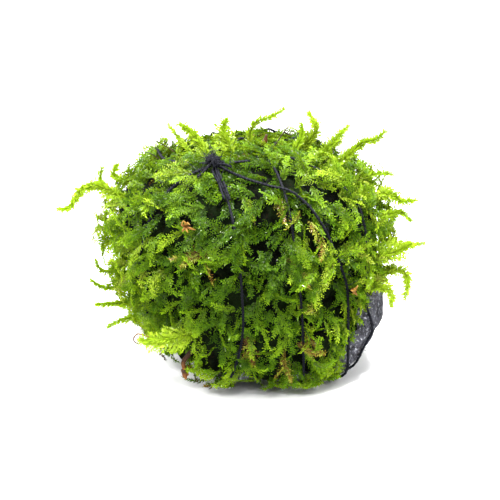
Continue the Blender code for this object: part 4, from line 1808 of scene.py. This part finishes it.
@dataclass
class LavaStone:
    """The stone: the CAD stone's form with rough grain and open pits on its bare side."""

    moss: Shell
    stone: Shell
    thread: Array
    cuts: int = 16
    fine_cuts: int = 3
    pit_count: int = 520
    pit_size: tuple[float, float] = (0.35, 1.5)
    bare_margin: float = 1.5
    rough: float = 0.45
    rough_fineness: float = 16.0
    ridge: float = 0.5
    ridge_fineness: float = 34.0
    seat: float = 0.35
    seat_reach: float = 5.5
    seed: int = 8

    def build(self, finish: Material) -> Piece:
        """Shape the stone.

        Args:
            finish: its material.

        Returns:
            The piece.
        """
        shape = ball(self.cuts)
        ways = ways_of(shape)
        bare = self.moss.outer(ways) < self.stone.outer(ways) + self.bare_margin
        fine = [edge for edge in shape.edges if any(bare[end.index] for end in edge.verts)]
        bmesh.ops.subdivide_edges(shape, edges=fine, cuts=self.fine_cuts, use_grid_fill=True)
        bmesh.ops.triangulate(shape, faces=shape.faces[:])
        shape.verts.ensure_lookup_table()
        ways = ways_of(shape)
        reach = self.stone.outer(ways)
        bare = self.moss.outer(ways) < reach + self.bare_margin
        over, aside = thread_under(ways, self.thread)
        seated = over - self.seat - 0.12 * aside
        floor = (0.4 - BODY_CENTRE[2]) / np.minimum(ways[:, 2], -0.01)
        raised = np.minimum(np.maximum(reach, seated), np.maximum(floor, reach))
        reach = np.where(bare & (aside < self.seat_reach), raised, reach)
        height = BODY_CENTRE[2] + ways[:, 2] * reach
        stays = held(height / 1.5)
        grain = np.array([noise.fractal(Vector(way) * self.rough_fineness, 1.0, 2.1, 5)
                          for way in ways])
        ridge = np.abs(mottled(ways, self.ridge_fineness))
        reach = reach + stays * (self.rough * grain - self.ridge * ridge - 0.1)
        reach = reach - stays * self._pits(ways)
        return placed(star_piece("lava_rock", shape, ways, reach, finish), "lava",
                      "lava_stone")

    def _pits(self, ways: Array) -> Array:
        """Spread open pits over the stone.

        Args:
            ways: the directions.

        Returns:
            How deep the pits are in each direction.
        """
        chooser = np.random.default_rng(self.seed)
        middles = spread_ways(self.pit_count)
        middles = unit(middles + chooser.normal(0.0, 0.04, middles.shape))
        sizes = chooser.uniform(0.0, 1.0, self.pit_count) ** 2.5
        sizes = self.pit_size[0] + (self.pit_size[1] - self.pit_size[0]) * sizes
        depth = np.zeros(len(ways))
        for middle, size in zip(middles, sizes):
            chord = np.linalg.norm(ways - middle, axis=1) * BODY_REACH / size
            depth = np.maximum(depth, 0.75 * size * np.sqrt(held(1.0 - chord ** 2)))
        return depth


@dataclass
class FreeGrowth:
    """The shoots that stand clear of the pad, each in place of its CAD node."""

    pad: MossPad
    bark: Material
    sink: float = 4.3
    spacing: float = 0.30
    leaf_width: float = 0.42
    spread: float = 46.0
    flaps: int = 7

    def route(self, shoot: FreeShoot) -> Array:
        """Lay a shoot's middle line from its foot to its tip.

        Args:
            shoot: the shoot.

        Returns:
            Its points from the body's centre.
        """
        way = toward(*shoot.root)[None, :]
        foot = (way * (self.pad.body.reach(way) - self.sink)[:, None])[0]
        stops = [np.array(stop, dtype=float) - BODY_CENTRE for stop in shoot.stops]
        return evenly(smooth_route(np.array([foot] + stops)), 0.8)

    def build(self) -> list[Piece]:
        """Make every free shoot.

        Returns:
            The pieces.
        """
        pieces = []
        for index, (node, shoot) in enumerate(FREE_SHOOTS.items()):
            if shoot.growth is Growth.DEAD:
                pieces.append(placed(self._dead(node, shoot), "dead", node))
            else:
                pieces.append(placed(self._leafy(node, shoot, 100 + index), "shoot", node))
        return pieces

    def _leafy(self, node: str, shoot: FreeShoot, seed: int) -> Piece:
        """Leaf a shoot along its route, with side shoots where it is a frond.

        Args:
            node: the shoot's CAD node.
            shoot: the shoot.
            seed: the seed of its small differences.

        Returns:
            The piece.
        """
        chooser = np.random.default_rng(seed)
        route = self.route(shoot)[None]
        ahead = unit(np.gradient(route[0], axis=0))
        look = np.array((0.15 * chooser.normal(), -1.0, 0.3 + 0.2 * chooser.normal()))
        facing = unit(look - ahead * (ahead @ look)[:, None])[None]
        along = steps_to_one(route.shape[1])
        made = Strands()
        big = 0.95 if shoot.growth is Growth.FROND else 1.05
        big = big * min(1.3, 0.55 + 0.27 * shoot.width)
        made.add(route, facing, tint=shoot.tint, age=0.30 + 0.68 * along,
                 leaf=big * (1.0 - 0.40 * along ** 3), girth=1.9 - 1.0 * along)
        across = np.cross(np.broadcast_to(ahead, route.shape), facing)
        for turn in (60.0, 120.0):
            angle = math.radians(turn)
            look = facing * math.cos(angle) + across * math.sin(angle)
            made.add(route, look, tint=shoot.tint - 0.03, age=0.26 + 0.66 * along,
                     leaf=big * (0.95 - 0.35 * along ** 3), girth=0.0)
        if shoot.growth is Growth.FROND:
            half = np.array([0.85 * shoot.width])
            side, looks, _, part = self.pad.side_stems(route, facing, half, chooser)
            along = steps_to_one(side.shape[1])
            made.add(side, looks, tint=shoot.tint,
                     age=0.35 + 0.35 * part[:, None] + 0.25 * along,
                     leaf=1.0 - 0.3 * along, girth=0.0)
        leafing = replace(self.pad.leafing, spacing=self.spacing, width=self.leaf_width,
                          spread=self.spread, seed=seed)
        return leafing.dress(made, f"{node}_leaves")

    def _dead(self, node: str, shoot: FreeShoot) -> Piece:
        """Make a bare brown stem with shrivelled leaves at its end.

        Args:
            node: the stem's CAD node.
            shoot: the stem.

        Returns:
            The piece.
        """
        chooser = np.random.default_rng(31)
        route = self.route(shoot)
        routes, radii = [route], [0.78 - 0.20 * steps_to_one(len(route))]
        down = unit(route[-1] - route[-3])
        start = route[-1] - 2.2 * down
        for _ in range(self.flaps):
            way = unit(down + chooser.normal(0.0, 0.85, 3))
            bend = chooser.normal(0.0, 0.5, 3)
            stops = np.array([start, start + 1.0 * way, start + 2.0 * way + 0.4 * bend,
                              start + (2.0 * way + 0.5 * down + 0.7 * bend)])
            flap = evenly(smooth_route(stops), 0.25)
            part = steps_to_one(len(flap))
            routes.append(flap)
            radii.append(0.25 + 0.55 * np.sin(math.pi * part ** 0.8))
        return swept(f"{node}_bark", routes, radii, self.bark, 7)


@dataclass
class DriedBits:
    """Twigs, a bud, a curled tip and dead leaves caught in the moss."""

    body: BodyForm
    twig: Material
    straw: Material

    TWIG = ((2.0, -4.0, 63.5), (6.3, -5.0, 68.2), (8.4, -5.0, 70.3), (9.8, -5.0, 72.4),
            (11.0, -5.0, 74.2), (12.2, -5.0, 76.0))
    TWIG_BRANCH = ((11.0, -5.0, 74.2), (12.2, -5.0, 73.6), (13.4, -5.0, 73.3))
    BARE_TIPS = (((-32.2, 0.0, 66.9), (-28.9, 0.0, 66.7), (-24.5, 0.0, 63.5)),
                 ((-28.9, 0.0, 69.9), (-26.5, 0.0, 70.2), (-21.5, 0.0, 67.0)))
    BUD = ((5.8, -5.0, 73.4), (5.6, -5.0, 72.3), (5.2, -5.0, 71.0), (4.2, -5.0, 69.6),
           (3.0, -4.0, 66.5))
    CURL = ((-31.1, -31.0, 17.5), (-32.3, -31.0, 18.2), (-32.5, -31.0, 19.4),
            (-31.4, -31.0, 20.6), (-30.2, -31.0, 20.4), (-27.5, -31.0, 19.4))
    DEAD_LEAVES = ((-25.0, 17.0, 2.0), (47.0, -12.0, 1.4), (120.0, 15.0, 1.8),
                   (-130.0, 5.0, 1.7), (170.0, -10.0, 1.6))

    def build(self) -> list[Piece]:
        """Make the bits.

        Returns:
            The pieces.
        """
        twigs = [self._line(self.TWIG), self._line(self.TWIG_BRANCH)]
        twigs += [self._line(tip) for tip in self.BARE_TIPS]
        thin = [0.30 - 0.16 * steps_to_one(len(route)) for route in twigs[:2]]
        thin += [0.10 + 0.08 * steps_to_one(len(route)) for route in twigs[2:]]
        bud = self._line(self.BUD)
        along = steps_to_one(len(bud))
        round_bud = 0.25 + 0.55 * np.exp(-((along - 0.30) / 0.20) ** 2)
        curl = self._line(self.CURL)
        curled = 0.16 + 0.10 * steps_to_one(len(curl))
        leaves, sizes = self._leaves()
        pieces = [
            swept("dead_twigs", twigs, thin, self.twig),
            swept("dry_bud", [bud], [round_bud], self.straw),
            swept("curled_tip", [curl], [curled], self.straw),
            swept("dead_leaves", leaves, sizes, self.straw, 5),
        ]
        return [placed(piece, "dead") for piece in pieces]

    @staticmethod
    def _line(points: tuple[Place, ...]) -> Array:
        """A smooth middle line through points, from the body's centre."""
        return evenly(smooth_route(np.array(points) - BODY_CENTRE), 0.5)

    def _leaves(self) -> tuple[list[Array], list[Array]]:
        """Crumple short blades that spread from one point for each dead leaf.

        Returns:
            The blades' middle lines, and the radius at each of their points.
        """
        chooser = np.random.default_rng(21)
        routes, radii = [], []
        for *place, size in self.DEAD_LEAVES:
            out = toward(*place)
            middle = out * (self.body.reach(out[None])[0] - 0.6)
            for turn in np.linspace(0.0, 2.0 * math.pi, 7)[:-1]:
                across = unit(np.cross(out, (0.0, 0.0, 1.0)))
                up = np.cross(across, out)
                angle = turn + chooser.uniform(-0.4, 0.4)
                way = math.cos(angle) * across + math.sin(angle) * up
                bend = chooser.normal(0.0, 0.35, 3)
                long = size * chooser.uniform(0.7, 1.2)
                stops = np.array([middle - out * 1.2, middle + way * 0.3 * long,
                                  middle + (way + bend * 0.4) * 0.7 * long + out * 0.5,
                                  middle + (way + bend) * long + out * 0.3])
                route = evenly(smooth_route(stops), 0.4)
                part = steps_to_one(len(route))
                routes.append(route)
                radii.append(0.10 + 0.30 * np.sin(math.pi * held(part * 1.05)))
        return routes, radii


def swept(name: str, routes: list[Array], radii: list[Array],
          finish: Material, around: int = 8) -> Piece:
    """Tubes along routes, of a radius that varies, with their own map.

    Args:
        name: the piece's name.
        routes: the middle lines from the body's centre.
        radii: the radius at each of their points.
        finish: the piece's material.
        around: how many sides each tube has.

    Returns:
        The piece.
    """
    counts = [len(route) for route in routes]
    fields = {"radius_here": np.concatenate(radii),
              "along": np.concatenate([steps_to_one(count) for count in counts])}
    holder = strand_holder(f"{name}_routes", np.vstack(routes), counts, fields)
    tree = GeometryTree(name)
    sides = tree.size("Points around", around, "NodeSocketInt")
    ring = tree.store(tree.ring(sides, MM), "around", tree.along_spline("Factor"))
    tube = tree.tube(tree.curves(), ring, Term(tree.field("radius_here")))
    tree.finish(tree.tube_mapped(tube, Term(tree.field("along"))), finish)
    piece = tree.applied_to(holder, name)
    piece.data.shade_smooth()
    return piece


@dataclass
class Studio:
    """The floor, the light and the camera."""

    floor_half: float = 3.0
    aim: Place = (1.0, 0.0, 36.4)
    distance: float = 444.79
    elevation: float = 17.0
    lens: float = 105.0
    glint_size: float = 0.04
    glint_power: float = 1.0
    lowest_light: float = 0.06
    light_above: float = 1.0
    light_behind: float = 1.2

    LAMPS = (("key_light", (0.14, -0.12, 0.66), 0.09, 12.0),
             ("left_rim_light", (-0.55, 0.25, 0.35), 0.26, 5.0),
             ("front_light", (-0.20, -0.58, 0.58), 0.10, 3.5))
    GLINTS = ((-0.30, -0.45, 0.62), (0.04, -0.52, 0.72), (0.34, -0.36, 0.60),
              (-0.14, -0.20, 0.80), (0.28, -0.62, 0.42), (-0.48, -0.40, 0.42),
              (0.12, 0.10, 0.82), (-0.38, -0.10, 0.70))

    def build(self, floor: Material) -> None:
        """Set the stage.

        Args:
            floor: the floor's material.
        """
        self._floor(floor)
        self._camera()
        self._world()
        for lamp in self.LAMPS:
            self._soft_box(*lamp)
        for index, place in enumerate(self.GLINTS):
            self._soft_box(f"glint_lamp_{index}", place, self.glint_size, self.glint_power)

    def _floor(self, finish: Material) -> None:
        """Lay a wide pale floor.

        Args:
            finish: its material.
        """
        half = self.floor_half
        mesh = bpy.data.meshes.new("floor")
        mesh.from_pydata([(-half, -half, 0), (half, -half, 0), (half, half, 0),
                          (-half, half, 0)], [], [(0, 1, 2, 3)])
        mesh.materials.append(finish)
        floor = linked("floor", mesh)
        floor.visible_glossy = False

    def _camera(self) -> None:
        """The camera at the photograph's angle."""
        data = bpy.data.cameras.new("camera")
        data.lens = self.lens
        data.sensor_width = 36.0
        data.clip_start = 0.01
        camera = bpy.data.objects.new("camera", data)
        rise = math.radians(self.elevation)
        back = Vector((0.0, -math.cos(rise), math.sin(rise)))
        camera.location = (Vector(self.aim) + back * self.distance) * MM
        camera.rotation_euler = (-back).to_track_quat("-Z", "Y").to_euler()
        bpy.context.scene.collection.objects.link(camera)
        bpy.context.scene.camera = camera

    def _world(self) -> None:
        """White light from above and behind but none from below, and plain colours in the picture."""
        world = bpy.data.worlds.new("studio")
        world.use_nodes = True
        bench = NodeBench(world.node_tree)
        back = world.node_tree.nodes["Background"]
        _, behind, up = bench.parts(bench.add("ShaderNodeTexCoord").outputs["Generated"])
        back.inputs["Color"].default_value = (1.0, 1.0, 1.0, 1.0)
        light = (self.lowest_light + self.light_above * (up + 0.05).clamped() ** 1.2
                 + self.light_behind * (behind + 0.15).clamped())
        shade = Term.math("GREATER_THAN", up, -0.02)
        world.node_tree.links.new((light * shade).socket, back.inputs["Strength"])
        scene = bpy.context.scene
        scene.world = world
        scene.view_settings.view_transform = "Standard"
        scene.view_settings.look = "None"

    @staticmethod
    def _soft_box(name: str, place: Place, size: float, power: float) -> None:
        """Hang a square lamp that looks at the object.

        Args:
            name: the lamp's name.
            place: where it hangs, in metres.
            size: its side in metres.
            power: its power in watts.
        """
        data = bpy.data.lights.new(name, "AREA")
        data.size = size
        data.energy = power
        lamp = bpy.data.objects.new(name, data)
        lamp.location = place
        aim = Vector((0.0, 0.0, 0.04)) - Vector(place)
        lamp.rotation_euler = aim.to_track_quat("-Z", "Y").to_euler()
        bpy.context.scene.collection.objects.link(lamp)


def report(pieces: list[Piece]) -> None:
    """Log each piece with its triangles.

    Args:
        pieces: the pieces.
    """
    for piece in pieces:
        mesh = piece.data
        mesh.calc_loop_triangles()
        LOG.info("%s: %d triangles", piece.name, len(mesh.loop_triangles))


def main() -> None:
    """Build the sub-assemblies in order."""
    logging.basicConfig(level=logging.INFO, format="%(message)s")
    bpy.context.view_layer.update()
    Studio().build(FloorFinish("pale_floor").material())
    winding = Winding(Shell("binding_thread"))
    winding.lay()
    dark_thread = ThreadFinish("dark_thread").material()
    report([winding.build(dark_thread), winding.fuzz(dark_thread)])
    moss, stone = Shell("moss_mat"), Shell("lava_stone")
    body = BodyForm()
    rock = LavaStone(moss, stone, np.vstack(winding.bouts))
    report([rock.build(LavaFinish("wet_lava").material())])
    report([MossBed(moss, body, stone).build(BedShadeFinish("old_moss").material())])
    leafing = Leafing(LeafFinish("moss_leaves").material())
    pad = MossPad(moss, body, stone, *winding.shown(), leafing)
    report(pad.build())
    bark = BarkFinish("dead_bark").material()
    report(FreeGrowth(pad, bark).build())
    twig = TwigFinish("dark_twig").material()
    report(DriedBits(body, twig, StrawFinish("dry_leaf").material()).build())
    bpy.context.view_layer.update()


if __name__ == "__main__":
    main()
